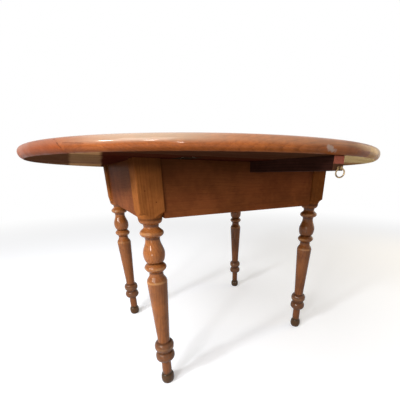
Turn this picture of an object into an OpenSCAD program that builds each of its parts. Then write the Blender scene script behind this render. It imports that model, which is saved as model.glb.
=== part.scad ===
// Round drop-leaf table: a fixed centre section on a frame of four turned legs and four
// rails, two hinged leaves with rule joints, and a sliding support, called a loper, with a
// ring pull for each leaf. Millimetres. The origin is on the floor under the middle of the
// top. X runs along the leaf joints and -Y is the near side, whose loper is drawn out.

/* [Top] */
// Diameter of the round top
top_d = 1168; // [1110:1:1240]
// Thickness of the boards of the top
top_t = 29; // [26:0.5:34]
// Radius of the round edge beyond half the thickness, which leaves a faint edge line
rim_crease = 0.4; // [0.2:0.1:2]
// Height of the table
table_h = 740; // [700:1:790]
// Middle of the top to the glued seam on the near side
near_seam = 80; // [40:1:160]
// Middle of the top to the glued seam on the far side
far_seam = 115; // [40:1:160]
// Width of the inner board of each leaf, from the hinge line to the seam
leaf_inner_w = 97; // [90:1:130]

/* [Rule joint] */
// Height of the hinge line above the underside of the top
pin_rise = 5; // [4.6:0.1:6]
// Depth of the square step above the rounded edge
step_h = 4.5; // [3:0.5:6]
// Gap between the rounded edge and the hollow of the leaf
joint_gap = 0.5; // [0.3:0.1:0.8]
// Gap between the centre section and the leaf at the top face
crack = 0.8; // [0.6:0.1:1.2]

/* [Frame] */
// Leg axis to leg axis along X
frame_l = 629; // [560:1:700]
// Leg axis to leg axis along Y
frame_w = 522; // [480:1:560]
// Width of the square post at the head of each leg
post_w = 64; // [58:1:66]
// Height of the rails
rail_h = 146; // [110:1:170]
// Thickness of the rails
rail_t = 22; // [20:0.5:25]
// Outer face of a rail behind the outer face of the posts
setback = 7; // [5:0.5:9]
// Outer face of a long rail to the hinge line of its leaf
hinge_over = 22; // [18:1:30]
// Length of the tenons of the rails
tenon_l = 28; // [20:1:29]
// Thickness of the tenons of the rails
tenon_t = 10; // [8:0.5:11]
// Shoulder above and below each tenon
tenon_shoulder = 14; // [8:1:20]
// Diameter of the pegs that lock the tenons
peg_d = 8; // [6:0.5:9]
// Wood left between a peg and the outer face of the post
peg_cover = 9; // [6:0.5:14]
// Height of the lower peg of a long rail above the bottom of the rail
low_peg = 36.5; // [25:0.5:50]
// Height of the upper peg of a long rail above the bottom of the rail
high_peg = 102.2; // [80:0.2:110]
// Height of each peg of a short rail above the one of the long rail beside it
peg_step = 20; // [14:1:28]
// Room past the end of a tenon in its mortise
mortise_room = 1; // [0.5:0.1:2]

/* [Turned legs] */
// Height of the foot
foot_h = 36; // [30:1:44]
// Diameter of the foot at its widest
foot_d = 43.5; // [38:0.5:50]
// Diameter of the ankle above the foot
ankle_d = 31.5; // [28:0.5:36]
// Length of the ankle
ankle_h = 58; // [48:1:70]
// Diameter of the two rings above the ankle
ring_d = 61.5; // [54:0.5:68]
// Height of each of the two rings
ring_h = 34; // [26:1:40]
// Height of the groove between the two rings
groove_h = 6; // [3:0.5:10]
// Diameter of the groove between them
groove_d = 43; // [36:0.5:48]
// Diameter of the three necks
neck_d = 40; // [34:0.5:45]
// Diameter at the foot of the taper
taper_low_d = 39; // [34:0.5:46]
// Height of the straight stretch at the foot of the taper
taper_foot_h = 17; // [8:1:30]
// Diameter at the shoulder of the taper
shoulder_d = 59; // [52:0.5:66]
// Height of the shoulder above the taper
shoulder_h = 22; // [16:1:30]
// Height of each of the three necks
neck_h = 8; // [5:0.5:12]
// Diameter of the collar under the vase
low_collar_d = 61.5; // [54:0.5:68]
// Diameter of the flared collar over the vase
high_collar_d = 64.5; // [56:0.5:70]
// Height of the collar under the vase
low_collar_h = 29; // [22:1:36]
// Height of the flared collar over the vase
high_collar_h = 27; // [20:1:34]
// Diameter of the vase
vase_d = 60.5; // [52:0.5:68]
// Height of the vase
vase_h = 67; // [54:1:80]
// Height of the rounded end under the square post
round_end_h = 14; // [8:1:20]

/* [Lopers] */
// Middle of the top to the middle of the near loper
near_loper_x = 12; // [-50:1:50]
// Width of a loper
loper_w = 34; // [30:1:46]
// Height of the slot that a loper slides in
slot_h = 30; // [26:1:36]
// Rim of the top to the outer end of a loper that is drawn out
rim_to_loper = 12; // [11.5:0.5:30]
// Thickness of the guides beside the lopers
guide_t = 18; // [14:1:24]
// Thickness of the keepers under the lopers
keeper_t = 14; // [10:1:20]
// Width of the keepers under the lopers
keeper_w = 30; // [24:1:40]
// Half of the travel of a loper to the inner edge of each keeper
keeper_room = 27; // [20:1:40]
// Inner edge of the keeper to the inner end of a loper that is drawn out
loper_tail = 20; // [16:1:40]
// Diameter of the stop peg under a loper
stop_d = 8; // [6:0.5:10]
// Length of the stop peg below a loper
stop_l = 10; // [6:0.5:12]
// Length of the stop peg inside a loper
stop_in = 15; // [10:1:20]
// Gap beside a loper
side_gap = 0.5; // [0.3:0.1:1]
// Gap above and below a loper
slide_gap = 0.3; // [0.2:0.1:0.5]

/* [Ring pulls] */
// Diameter of a ring at the middle of its wire
pull_d = 18; // [16:0.5:20]
// Diameter of the wire of a ring
wire_d = 3; // [2.4:0.1:3.4]
// Turn of a ring and its eye about the upright, from square to the loper, in degrees
ring_turn = 30; // [0:5:30]
// Diameter of the neck between the plate and the eye
eye_neck_d = 2.2; // [2:0.1:2.4]
// Diameter of the plate behind the eye
plate_d = 9; // [8:0.5:9]
// Thickness of the plate behind the eye
plate_t = 1.5; // [1:0.1:2]
// Diameter of the eye
eye_d = 9.2; // [9:0.1:9.8]
// Width of the eye across its hole
eye_w = 5; // [4:0.1:5.5]
// Diameter of the hole in the eye
eye_hole_d = 4.2; // [4:0.1:4.4]
// Face of the loper to the middle of the hole
eye_reach = 6; // [5.8:0.1:6.4]
// Underside of the top to the middle of the hole
eye_drop = 25; // [20:0.5:25]
// Length of the spike that holds the eye in the loper
spike_l = 22; // [14:1:30]
// Diameter of the spike
spike_d = 4; // [3:0.5:5]

/* [Hinges] */
// Middle of the top to the middle of each hinge
hinge_x = 230; // [180:1:250]
// Width of a hinge along its pin
hinge_w = 50; // [40:1:64]
// Hinge line to the end of the short plate
short_reach = 40; // [34:1:46]
// Hinge line to the end of the long plate
long_reach = 70; // [64:1:80]
// Thickness of the hinge plates
hinge_t = 2; // [1.8:0.1:2.4]
// Diameter of the knuckles
knuckle_d = 6.4; // [6:0.1:7]
// Diameter of the hinge pin
pin_d = 3.2; // [2.6:0.1:3.6]
// Clearance round the hinge pin
pin_fit = 0.05; // [0.02:0.01:0.08]
// Gap between neighbouring knuckles
knuckle_gap = 0.3; // [0.2:0.1:0.5]
// Gap between a hinge plate and the wood beside it
plate_room = 0.2; // [0.1:0.05:0.4]
// Room over the long plate in the centre section, for a leaf that is lifted
lift_room = 0.8; // [0.6:0.1:1.5]
// Hinge line to the nearest edge of each plate between its knuckles
plate_back = 5.5; // [5.3:0.1:6.5]
// Middle of an outer screw to the edges of its plate
screw_margin = 9; // [7:0.5:12]
// Edge of the short plate at its knuckles to its middle screw
middle_screw = 11; // [8:0.5:14]
// Hollow of the leaf to the nearest screws of the long plate
hollow_to_screw = 16; // [12:0.5:20]

/* [Fixings] */
// Length of a block that joins the rails to the top
block_l = 70; // [50:1:90]
// Side of a block
block_s = 26; // [22:1:32]
// Middle of the top to the blocks on the long rails
long_block_x = 205; // [160:1:225]
// Middle of the top to the blocks on the short rails
short_block_y = 120; // [80:1:160]
// Diameter of the screws
screw_d = 4; // [3.5:0.1:4.5]
// Diameter of the screw heads
head_d = 7.6; // [7:0.1:8.4]
// Height of the screw heads
head_h = 1.2; // [1:0.1:1.4]
// Width of the slots in the screw heads
slot_cut = 1; // [0.8:0.1:1.2]
// Depth of the screws in the top
bite = 16; // [10:1:19]
// Clearance round the pegs and screws
fit = 0.1; // [0.05:0.01:0.15]

/* [Hidden] */

$fn = 96;
// Overlap of solids that are joined, excess length of cuts, and more than the whole width
eps = 0.01;
over = 1;
far = 2000;

// Colours
board_colour = "#b5713a";
leg_colour = "#a5602c";
rail_colour = "#7a4226";
inner_colour = "#b89468";
brass_colour = "#c9a24a";
steel_colour = "#8d8a84";

// Top
top_r = top_d / 2;
nose_r = top_t / 2 + rim_crease;
under_z = table_h - top_t;
pin_z = under_z + pin_rise;
cove_r = top_t - pin_rise - step_h;

// Frame
leg_x = frame_l / 2;
leg_y = frame_w / 2;
post_h = rail_h;
post_z = under_z - post_h;
rail_face_x = leg_x + post_w / 2 - setback;
rail_face_y = leg_y + post_w / 2 - setback;
rail_end_x = leg_x - post_w / 2;
rail_end_y = leg_y - post_w / 2;
rail_inner_x = rail_face_x - rail_t;
rail_inner_y = rail_face_y - rail_t;
tenon_h = rail_h - 2 * tenon_shoulder;
hinge_y = rail_face_y + hinge_over;
seam_y = hinge_y + leaf_inner_w;

// Lopers
slot_z = under_z - slot_h;
slot_w = loper_w + 2 * side_gap;
loper_h = slot_h - 2 * slide_gap;
loper_pitch = slot_w + guide_t;
far_loper_x = near_loper_x + loper_pitch;
loper_out_y = top_r - rim_to_loper;
keeper_y = (loper_out_y - rail_face_y) / 2 + keeper_room;
loper_l = loper_out_y - keeper_y + loper_tail;
loper_z = slot_z + slide_gap;
stop_back = keeper_y - stop_d / 2 - slide_gap - loper_out_y;
guide_xs = [for (i = [0:2]) near_loper_x + (i - 0.5) * loper_pitch];
keeper_screw_l = keeper_t + slot_h + bite;
eye_z = under_z - eye_drop;
// Neck's end to the hole of the eye
neck_in = 0.5;

// Hinges
pitch = hinge_w / 5;
groove_r = norm([plate_back, pin_rise]) + fit;
side_screw_x = hinge_w / 2 - screw_margin;
short_screws = [
    [-side_screw_x, short_reach - screw_margin], [side_screw_x, short_reach - screw_margin],
    [0, plate_back + middle_screw]];
long_screws = [
    [-side_screw_x, cove_r + hollow_to_screw], [side_screw_x, cove_r + hollow_to_screw],
    [0, long_reach - screw_margin]];

// The whole disc of the top, with its round edge
module disc() {
    translate([0, 0, under_z])
    rotate_extrude($fn = 360) {
        square([top_r - nose_r, top_t]);
        intersection() {
            translate([top_r - nose_r, top_t / 2]) circle(r = nose_r);
            square([top_r + over, top_t]);
        }
    }
}

// A profile drawn in Y and Z, drawn out along X
module along_x(length) {
    rotate([90, 0, 90])
    linear_extrude(height = length, center = true)
    children();
}

// Section of the centre part between two seams, with a rounded edge at the hinge line
module centre_section(from_y, to_y, edge) {
    translate([from_y, under_z]) square([to_y - from_y, top_t]);
    if (edge)
        intersection() {
            translate([to_y, pin_z]) circle(r = cove_r);
            translate([to_y - over, under_z]) square([cove_r + 2 * over, top_t]);
        }
}

// Section of a leaf board. The inner one has the hollow that goes over the rounded edge
module leaf_section(inner) {
    if (inner)
        difference() {
            translate([hinge_y + crack, under_z]) square([leaf_inner_w - crack, top_t]);
            translate([hinge_y, pin_z]) circle(r = cove_r + joint_gap);
            translate([hinge_y, under_z - over]) square([cove_r + joint_gap, pin_rise + over]);
        }
    else
        translate([seam_y, under_z]) square([top_r, top_t]);
}

// Mirrors a child along a direction where flip is true
module mirrored(direction, flip) {
    if (flip) mirror(direction) children();
    else children();
}

// Keeps a far side piece in place, or mirrors it to the near side where side is -1
module on_side(side) {
    mirrored([0, 1, 0], side < 0) children();
}

// Keeps a right hand piece in place, or mirrors it to the left where side is -1
module on_end(side) {
    mirrored([1, 0, 0], side < 0) children();
}

// Places a child at both hinges of one side, with its origin on the hinge pin
module at_hinges(side) {
    on_side(side)
    for (x = [-hinge_x, hinge_x])
        translate([x, hinge_y, pin_z])
        children();
}

// Room in the centre board for one hinge: short plate, knuckles and the way of the long plate
module hinge_room() {
    translate([-hinge_w / 2 - plate_room, -short_reach - plate_room, -pin_rise - over])
    cube([hinge_w + 2 * plate_room, short_reach - plate_back + 2 * plate_room, hinge_t + over]);
    translate([-hinge_w / 2 - over, 0, 0])
    rotate([0, 90, 0]) cylinder(r = groove_r, h = hinge_w + 2 * over);
    translate([-hinge_w / 2 - over, 0, -pin_rise - over])
    cube([hinge_w + 2 * over, cove_r + over, hinge_t + lift_room + over]);
}

// Screw that points up, with its slotted head at the bottom
module screw(length) {
    difference() {
        union() {
            cylinder(d = head_d, h = head_h);
            cylinder(d = screw_d, h = length);
        }
        translate([-head_d, -slot_cut / 2, -over]) cube([2 * head_d, slot_cut, over + head_h / 2]);
    }
}

// Hole for that screw
module screw_hole(length) {
    translate([0, 0, -over]) cylinder(d = head_d + 4 * fit, h = head_h + over);
    cylinder(d = screw_d + 2 * fit, h = length + fit);
}

// Holes of the hinge screws in the wood
module hinge_screw_holes(places) {
    for (p = places)
        translate([p[0], p[1], -pin_rise + fit]) screw_hole(bite);
}

module hinge_screws(places) {
    for (p = places)
        translate([p[0], p[1], -pin_rise + fit]) screw(bite);
}

// Holes in the middle of the top for the block screws and keeper screws
module top_screw_holes() {
    at_blocks() block_screw_holes();
    keeper_screw_places() screw_hole(keeper_screw_l);
}

// Centre section of the top
module centre_board(from_y, to_y, side, edge) {
    color(board_colour)
    difference() {
        intersection() {
            disc();
            on_side(side) along_x(far) centre_section(from_y, to_y, edge);
        }
        if (edge) at_hinges(side) {
            hinge_room();
            mirror([0, 1, 0]) hinge_screw_holes(short_screws);
        }
        top_screw_holes();
    }
}

module centre_board_near() { centre_board(near_seam, hinge_y, -1, true); }
module centre_board_middle() { centre_board(-near_seam, far_seam, 1, false); }
module centre_board_far() { centre_board(far_seam, hinge_y, 1, true); }

// Profile pieces of the turned leg, from the bottom up, as [radius, height] points
step_deg = 15;
// Quarter round that starts level and ends upright
function swell(z, h, r0, r1) =
    [for (a = [0:step_deg:90]) [r0 + (r1 - r0) * sin(a), z + h * (1 - cos(a))]];
// Quarter round that starts upright and ends level
function close_in(z, h, r0, r1) =
    [for (a = [0:step_deg:90]) [r0 + (r1 - r0) * (1 - cos(a)), z + h * sin(a)]];
// Full bead: a swell and a close_in of equal height, each with its own base
function bead(z, h, base, r, top) =
    concat(swell(z, h / 2, base, r), close_in(z + h / 2, h / 2, r, top));
// Lens: a bead with sloping flanks and a narrow edge
function lens(z, h, base, r) =
    [for (a = [0:step_deg:180]) [base + (r - base) * sin(a), z + h * a / 180]];
// S curve from one radius to the other
function ogee(z, h, r0, r1) =
    [for (a = [0:step_deg:180]) [r0 + (r1 - r0) * (1 - cos(a)) / 2, z + h * a / 180]];

// Heights of the turning, upwards from the floor and downwards from the post
low_ring_z = foot_h + ankle_h;
high_ring_z = low_ring_z + ring_h + groove_h;
taper_z = high_ring_z + ring_h;
high_neck_z = post_z - round_end_h - neck_h;
high_collar_z = high_neck_z - high_collar_h;
vase_z = high_collar_z - neck_h - vase_h;
low_collar_z = vase_z - low_collar_h;
shoulder_z = low_collar_z - neck_h - shoulder_h;
neck_r = neck_d / 2;
// Sole of the foot as a share of its widest, and the shares of the vase and of the flared
// collar that lie below their widest
sole = 0.7;
vase_belly = 0.4;
collar_belly = 0.4;
// Upright edge of a shoulder, and the square steps beside the round shapes
edge_h = 3;
collar_edge_h = 1.35;
quirk = 1.5;
small_step = 0.5;
// Round bottom of the square post, and how far and how high its corners are rounded off
post_low_r = post_w / 2 - small_step;
corner_out = post_w / 4;
corner_up = 0.3 * post_w;

function leg_profile() = concat(
    [[0, 0]],
    bead(0, foot_h, sole * foot_d / 2, foot_d / 2, ankle_d / 2),
    bead(low_ring_z, ring_h, ankle_d / 2, ring_d / 2, groove_d / 2),
    bead(high_ring_z, ring_h, groove_d / 2, ring_d / 2, taper_low_d / 2),
    [[taper_low_d / 2, taper_z + taper_foot_h]],
    [[shoulder_d / 2, shoulder_z]],
    ogee(shoulder_z + edge_h, shoulder_h - edge_h, shoulder_d / 2 - 2 * small_step, neck_r),
    lens(low_collar_z, low_collar_h, neck_r, low_collar_d / 2),
    swell(vase_z, vase_belly * vase_h, neck_r, vase_d / 2),
    ogee(vase_z + vase_belly * vase_h, (1 - vase_belly) * vase_h, vase_d / 2, neck_r),
    swell(high_collar_z, collar_belly * high_collar_h, neck_r + quirk, high_collar_d / 2),
    ogee(high_collar_z + collar_belly * high_collar_h + collar_edge_h,
        (1 - collar_belly) * high_collar_h - collar_edge_h,
        high_collar_d / 2 - small_step, neck_r),
    swell(high_neck_z + neck_h, round_end_h, neck_r + quirk, post_low_r),
    [[post_low_r, post_z + eps], [0, post_z + eps]]);

// Outline that rounds the corners at the bottom of the square post
function post_outline() = concat(
    [[0, post_z]],
    close_in(post_z, corner_up, post_low_r, post_low_r + corner_out),
    [[post_w, post_z + corner_up + eps], [post_w, under_z], [0, under_z]]);

// Mortise and peg holes of the leg at +X +Y
module leg_cuts() {
    tenon_box(true, mortise_room, fit);
    tenon_box(false, mortise_room, fit);
    leg_pegs(fit, over);
}

// Leg at the corner given by the two signs
module leg(sx, sy) {
    color(leg_colour)
    at_corner(sx, sy)
    difference() {
        union() {
            translate([leg_x, leg_y, 0]) rotate_extrude() polygon(leg_profile());
            intersection() {
                translate([leg_x, leg_y, 0]) rotate_extrude() polygon(post_outline());
                translate([leg_x - post_w / 2, leg_y - post_w / 2, post_z])
                cube([post_w, post_w, post_h]);
            }
        }
        leg_cuts();
    }
}

// Mirrors the +X +Y corner to the one given by the two signs
module at_corner(sx, sy) {
    on_end(sx) on_side(sy) children();
}

// Tenon in the +X +Y leg: of the long rail or of the short one, with room round it
module tenon_box(long, room, side) {
    z = post_z + tenon_shoulder - side;
    h = tenon_h + 2 * side;
    if (long)
        translate([rail_end_x - eps, rail_inner_y + (rail_t - tenon_t) / 2 - side, z])
        cube([tenon_l + room + eps, tenon_t + 2 * side, h]);
    else
        translate([rail_inner_x + (rail_t - tenon_t) / 2 - side, rail_end_y - eps, z])
        cube([tenon_t + 2 * side, tenon_l + room + eps, h]);
}

// Pegs of the +X +Y leg, driven from the inside, or their holes, wider by clear all round
// and longer by more at both ends
module leg_pegs(clear, more) {
    r = peg_d / 2 + clear;
    h = post_w - peg_cover + 2 * more;
    for (z = [post_z + low_peg, post_z + high_peg]) {
        translate([rail_end_x + tenon_l / 2, rail_end_y - more, z])
        rotate([-90, 0, 0]) cylinder(r = r, h = h);
        translate([rail_end_x - more, rail_end_y + tenon_l / 2, z + peg_step])
        rotate([0, 90, 0]) cylinder(r = r, h = h);
    }
}

module leg_near_left() { leg(-1, -1); }
module leg_near_right() { leg(1, -1); }
module leg_far_left() { leg(-1, 1); }
module leg_far_right() { leg(1, 1); }

// Repeats the tenon or peg holes of the +X +Y leg at the other end of a rail there, which is
// the long rail or the short one
module both_ends(long) {
    for (flip = [false, true])
        mirrored(long ? [1, 0, 0] : [0, 1, 0], flip) children();
}

// Long rail, with the slot for its loper in its top edge
module long_rail(side, slot_x) {
    color(rail_colour)
    on_side(side)
    difference() {
        union() {
            translate([-rail_end_x, rail_inner_y, post_z])
            cube([2 * rail_end_x, rail_t, rail_h]);
            both_ends(true) tenon_box(true, 0, 0);
        }
        both_ends(true) leg_pegs(fit, over);
        translate([slot_x - slot_w / 2, rail_inner_y - over, slot_z])
        cube([slot_w, rail_t + 2 * over, slot_h + over]);
        at_blocks() block_screw_holes();
    }
}

module short_rail(side) {
    color(rail_colour)
    on_end(side)
    difference() {
        union() {
            translate([rail_inner_x, -rail_end_y, post_z])
            cube([rail_t, 2 * rail_end_y, rail_h]);
            both_ends(false) tenon_box(false, 0, 0);
        }
        both_ends(false) leg_pegs(fit, over);
        at_blocks() block_screw_holes();
    }
}

module long_rail_near() { long_rail(-1, near_loper_x); }
module long_rail_far() { long_rail(1, far_loper_x); }
module short_rail_left() { short_rail(-1); }
module short_rail_right() { short_rail(1); }

module tenon_pegs() {
    color(inner_colour)
    for (sx = [-1, 1], sy = [-1, 1])
        at_corner(sx, sy) leg_pegs(0, 0);
}

// Places a child at the middle of the top of each block, with +Y towards its rail
module at_blocks() {
    for (side = [-1, 1], x = [-long_block_x, long_block_x])
        on_side(side)
        translate([x, rail_inner_y - block_s / 2, under_z])
        children();
    for (side = [-1, 1], y = [-short_block_y, short_block_y])
        on_end(side)
        translate([rail_inner_x - block_s / 2, y, under_z])
        rotate([0, 0, -90])
        children();
}

// Where the screw of a block into the top goes, and its screw into the rail
module up_screw_place() {
    translate([block_l / 4, 0, fit - block_s]) children();
}

module side_screw_place() {
    translate([-block_l / 4, fit - block_s / 2, -block_s / 2]) rotate([-90, 0, 0]) children();
}

module block_screw_holes() {
    up_screw_place() screw_hole(block_s + bite);
    side_screw_place() screw_hole(block_s + rail_t / 2);
}

module top_blocks() {
    color(inner_colour)
    at_blocks()
    difference() {
        translate([-block_l / 2, -block_s / 2, -block_s]) cube([block_l, block_s, block_s]);
        block_screw_holes();
    }
}

module block_screws() {
    color(steel_colour)
    at_blocks() {
        up_screw_place() screw(block_s + bite);
        side_screw_place() screw(block_s + rail_t / 2);
    }
}

// Batten beside a loper, from rail to rail, with its middle at x
module loper_guide(x) {
    color(inner_colour)
    difference() {
        translate([x - guide_t / 2, -rail_inner_y, slot_z])
        cube([guide_t, 2 * rail_inner_y, slot_h]);
        keeper_screw_places() screw_hole(keeper_screw_l);
    }
}

module loper_guide_left() { loper_guide(guide_xs[0]); }
module loper_guide_middle() { loper_guide(guide_xs[1]); }
module loper_guide_right() { loper_guide(guide_xs[2]); }

// Batten across under the guides, which holds the inner ends of the lopers up
module keeper(side) {
    color(inner_colour)
    difference() {
        on_side(side)
        translate([guide_xs[0] - guide_t / 2, keeper_y, slot_z - keeper_t])
        cube([guide_xs[2] - guide_xs[0] + guide_t, keeper_w, keeper_t]);
        keeper_screw_places() screw_hole(keeper_screw_l);
    }
}

module keeper_near() { keeper(-1); }
module keeper_far() { keeper(1); }

module keeper_screw_places() {
    for (x = guide_xs, s = [-1, 1])
        translate([x, s * (keeper_y + keeper_w / 2), slot_z - keeper_t + fit])
        children();
}

module keeper_screws() {
    color(steel_colour) keeper_screw_places() screw(keeper_screw_l);
}

// Hinge plate that runs from the pin towards +Y, with its knuckles at the given places
module hinge_plate(reach, knuckles, screws) {
    knuckle_w = pitch - knuckle_gap;
    difference() {
        union() {
            translate([-hinge_w / 2, plate_back, -pin_rise])
            cube([hinge_w, reach - plate_back, hinge_t]);
            for (i = knuckles)
                translate([-hinge_w / 2 + i * pitch + knuckle_gap / 2, 0, 0]) {
                    translate([0, 0, -pin_rise]) cube([knuckle_w, plate_back, hinge_t]);
                    translate([0, 0, -pin_rise]) cube([knuckle_w, knuckle_d / 2, pin_rise]);
                    rotate([0, 90, 0]) cylinder(d = knuckle_d, h = knuckle_w);
                }
        }
        translate([-hinge_w / 2 - over, 0, 0])
        rotate([0, 90, 0]) cylinder(d = pin_d + 2 * pin_fit, h = hinge_w + 2 * over);
        hinge_screw_holes(screws);
    }
}

module hinge_short_plates() {
    color(steel_colour)
    for (side = [-1, 1])
        at_hinges(side) mirror([0, 1, 0]) hinge_plate(short_reach, [0, 2, 4], short_screws);
}

module hinge_pins() {
    color(steel_colour)
    for (side = [-1, 1])
        at_hinges(side)
        translate([-hinge_w / 2, 0, 0]) rotate([0, 90, 0]) cylinder(d = pin_d, h = hinge_w);
}

module short_plate_screws() {
    color(steel_colour)
    for (side = [-1, 1])
        at_hinges(side) mirror([0, 1, 0]) hinge_screws(short_screws);
}

// Board of a leaf. The inner one has the recess for the long hinge plates
module leaf_board(side, inner) {
    color(board_colour)
    difference() {
        intersection() {
            disc();
            on_side(side) along_x(far) leaf_section(inner);
        }
        if (inner) at_hinges(side) {
            translate([-hinge_w / 2 - plate_room, 0, -pin_rise - over])
            cube([hinge_w + 2 * plate_room, long_reach + plate_room, hinge_t + over]);
            hinge_screw_holes(long_screws);
        }
    }
}

module leaf_hinge_plates(side) {
    color(steel_colour) at_hinges(side) hinge_plate(long_reach, [1, 3], long_screws);
}

module leaf_screws(side) {
    color(steel_colour) at_hinges(side) hinge_screws(long_screws);
}

module near_leaf_inner_board() { leaf_board(-1, true); }
module near_leaf_outer_board() { leaf_board(-1, false); }
module near_leaf_hinge_plates() { leaf_hinge_plates(-1); }
module near_leaf_screws() { leaf_screws(-1); }
module far_leaf_inner_board() { leaf_board(1, true); }
module far_leaf_outer_board() { leaf_board(1, false); }
module far_leaf_hinge_plates() { leaf_hinge_plates(1); }
module far_leaf_screws() { leaf_screws(1); }

// Places a child at the outer end of a loper, with +Y outwards. The near loper is drawn
// out under its leaf, and the far one is pushed in, flush with the rail
module at_loper_end(side) {
    on_side(side)
    translate(side < 0 ? [near_loper_x, loper_out_y, 0] : [far_loper_x, rail_face_y, 0])
    children();
}

module loper(side) {
    color(inner_colour)
    at_loper_end(side)
    difference() {
        translate([-loper_w / 2, -loper_l, loper_z]) cube([loper_w, loper_l, loper_h]);
        translate([0, stop_back, loper_z - over])
        cylinder(d = stop_d + 2 * fit, h = stop_in + over + fit);
        translate([0, over, eye_z])
        rotate([90, 0, 0]) cylinder(d = spike_d + 2 * fit, h = spike_l + over + fit);
    }
}

// Peg under the inner end of a loper, which meets the keeper when the loper is drawn out
module stop_peg(side) {
    color(leg_colour)
    at_loper_end(side)
    translate([0, stop_back, loper_z - stop_l]) cylinder(d = stop_d, h = stop_l + stop_in);
}

// Plate, eye and spike that hold a ring
module pull_eye(side) {
    color(brass_colour)
    at_loper_end(side)
    translate([0, 0, eye_z])
    difference() {
        union() {
            rotate([-90, 0, 0]) cylinder(d = plate_d, h = plate_t);
            rotate([90, 0, 0]) cylinder(d = spike_d, h = spike_l);
            rotate([-90, 0, 0]) cylinder(d = eye_neck_d, h = eye_reach - eye_hole_d / 2 - neck_in);
            translate([0, eye_reach, 0]) rotate([0, 90, ring_turn])
            translate([0, 0, -eye_w / 2]) cylinder(d = eye_d, h = eye_w);
        }
        translate([0, eye_reach, 0]) rotate([0, 90, ring_turn])
        translate([0, 0, -eye_w]) cylinder(d = eye_hole_d, h = 2 * eye_w);
    }
}

// Ring that hangs from its eye
module ring(side) {
    color(brass_colour)
    at_loper_end(side)
    translate([0, eye_reach, eye_z - pull_d / 2])
    rotate([90, 0, ring_turn])
    rotate_extrude() translate([pull_d / 2, 0]) circle(d = wire_d, $fn = 32);
}

module near_loper() { loper(-1); }
module near_stop_peg() { stop_peg(-1); }
module near_pull_eye() { pull_eye(-1); }
module near_ring() { ring(-1); }
module far_loper() { loper(1); }
module far_stop_peg() { stop_peg(1); }
module far_pull_eye() { pull_eye(1); }
module far_ring() { ring(1); }

centre_board_near();
centre_board_middle();
centre_board_far();
leg_near_left();
leg_near_right();
leg_far_left();
leg_far_right();
long_rail_near();
long_rail_far();
short_rail_left();
short_rail_right();
tenon_pegs();
top_blocks();
block_screws();
loper_guide_left();
loper_guide_middle();
loper_guide_right();
keeper_near();
keeper_far();
keeper_screws();
hinge_short_plates();
hinge_pins();
short_plate_screws();
near_leaf_inner_board();
near_leaf_outer_board();
near_leaf_hinge_plates();
near_leaf_screws();
far_leaf_inner_board();
far_leaf_outer_board();
far_leaf_hinge_plates();
far_leaf_screws();
near_loper();
near_stop_peg();
near_pull_eye();
near_ring();
far_loper();
far_stop_peg();
far_pull_eye();
far_ring();
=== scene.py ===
"""Round drop-leaf table: the looks of every piece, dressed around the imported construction.

Everything is in metres, in the frame of the construction. The origin is on the floor under
the middle of the top, +Z is up, X runs along the leaf joints and -Y is the near side, whose
loper is drawn out under its leaf. Sizes that the frame holds are read from it, and the rest
are fields of the class that builds the piece.
"""

import logging
import math
from collections.abc import Iterable, Sequence
from dataclasses import dataclass
from enum import Enum
from functools import cached_property

import bmesh
import bpy
from mathutils import Matrix, Vector


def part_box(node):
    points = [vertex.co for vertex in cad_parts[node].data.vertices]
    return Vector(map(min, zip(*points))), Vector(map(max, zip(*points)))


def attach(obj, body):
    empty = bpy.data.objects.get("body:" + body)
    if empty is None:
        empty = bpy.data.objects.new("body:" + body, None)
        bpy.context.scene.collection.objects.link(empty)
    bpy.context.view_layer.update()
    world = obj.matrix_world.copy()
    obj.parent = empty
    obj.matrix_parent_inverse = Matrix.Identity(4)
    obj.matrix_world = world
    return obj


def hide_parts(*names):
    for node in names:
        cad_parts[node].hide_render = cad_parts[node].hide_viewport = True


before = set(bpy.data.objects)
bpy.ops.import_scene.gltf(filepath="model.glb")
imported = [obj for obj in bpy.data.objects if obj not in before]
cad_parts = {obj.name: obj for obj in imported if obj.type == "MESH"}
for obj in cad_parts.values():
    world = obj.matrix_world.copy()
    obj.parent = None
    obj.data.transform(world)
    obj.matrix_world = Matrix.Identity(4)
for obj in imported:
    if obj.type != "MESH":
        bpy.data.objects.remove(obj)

LOG = logging.getLogger("drop_leaf_table")
ORIGIN = (0.0, 0.0, 0.0)
SMOOTH_ANGLE = math.radians(12.0)
MERGE = 1e-6
CUT_OVER = 0.01
ARRIS_STEPS = 2
ROD_SIDES = 48
# Dark brown for dirt, dents and pores, and also for painted shade under the top and for the legs' darkening
# towards the floor.
DIRT_AND_SHADE = "#2a120a"
# Dark olive, for grime on the feet and for the lower part of the lopers' sawn ends.
DARK_OLIVE = "#2e2a18"

Colour = tuple[float, float, float, float]
Point = tuple[float, float]
Place = tuple[float, float, float]
Tones = tuple[str, str, str]
Socket = bpy.types.NodeSocket


def colour(code: str) -> Colour:
    """Turns a colour as a screen shows it into the linear one that shaders use.

    Args:
        code: The colour as six hexadecimal digits after a hash.

    Returns:
        Linear red, green and blue, with an alpha of 1.
    """
    shown = [int(code[i:i + 2], 16) / 255 for i in (1, 3, 5)]
    linear = [c / 12.92 if c <= 0.04045 else ((c + 0.055) / 1.055) ** 2.4 for c in shown]
    return (linear[0], linear[1], linear[2], 1.0)


class Grain(Enum):
    """The direction of the fibres, as the order of the axes with the fibres' own first."""

    ALONG_X = "XYZ"
    ALONG_Y = "YXZ"
    ALONG_Z = "ZXY"


class Cut(Enum):
    """How one solid is combined with another."""

    KEEP_COMMON = "INTERSECT"
    TAKE_AWAY = "DIFFERENCE"
    JOIN = "UNION"


class HingeEdge(Enum):
    """The shape of a board's edge at its hinge line."""

    NONE = "none"
    TONGUE = "tongue"
    COVE = "cove"


class Curve(Enum):
    """The shape of a stretch of the turning, from its lower to its upper end."""

    SWELL = "a quarter round that starts level and ends upright"
    CLOSE = "a quarter round that starts upright and ends level"
    OGEE = "an S from one radius to the other"
    LENS = "a bead with sloping flanks and a narrow edge"


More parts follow.
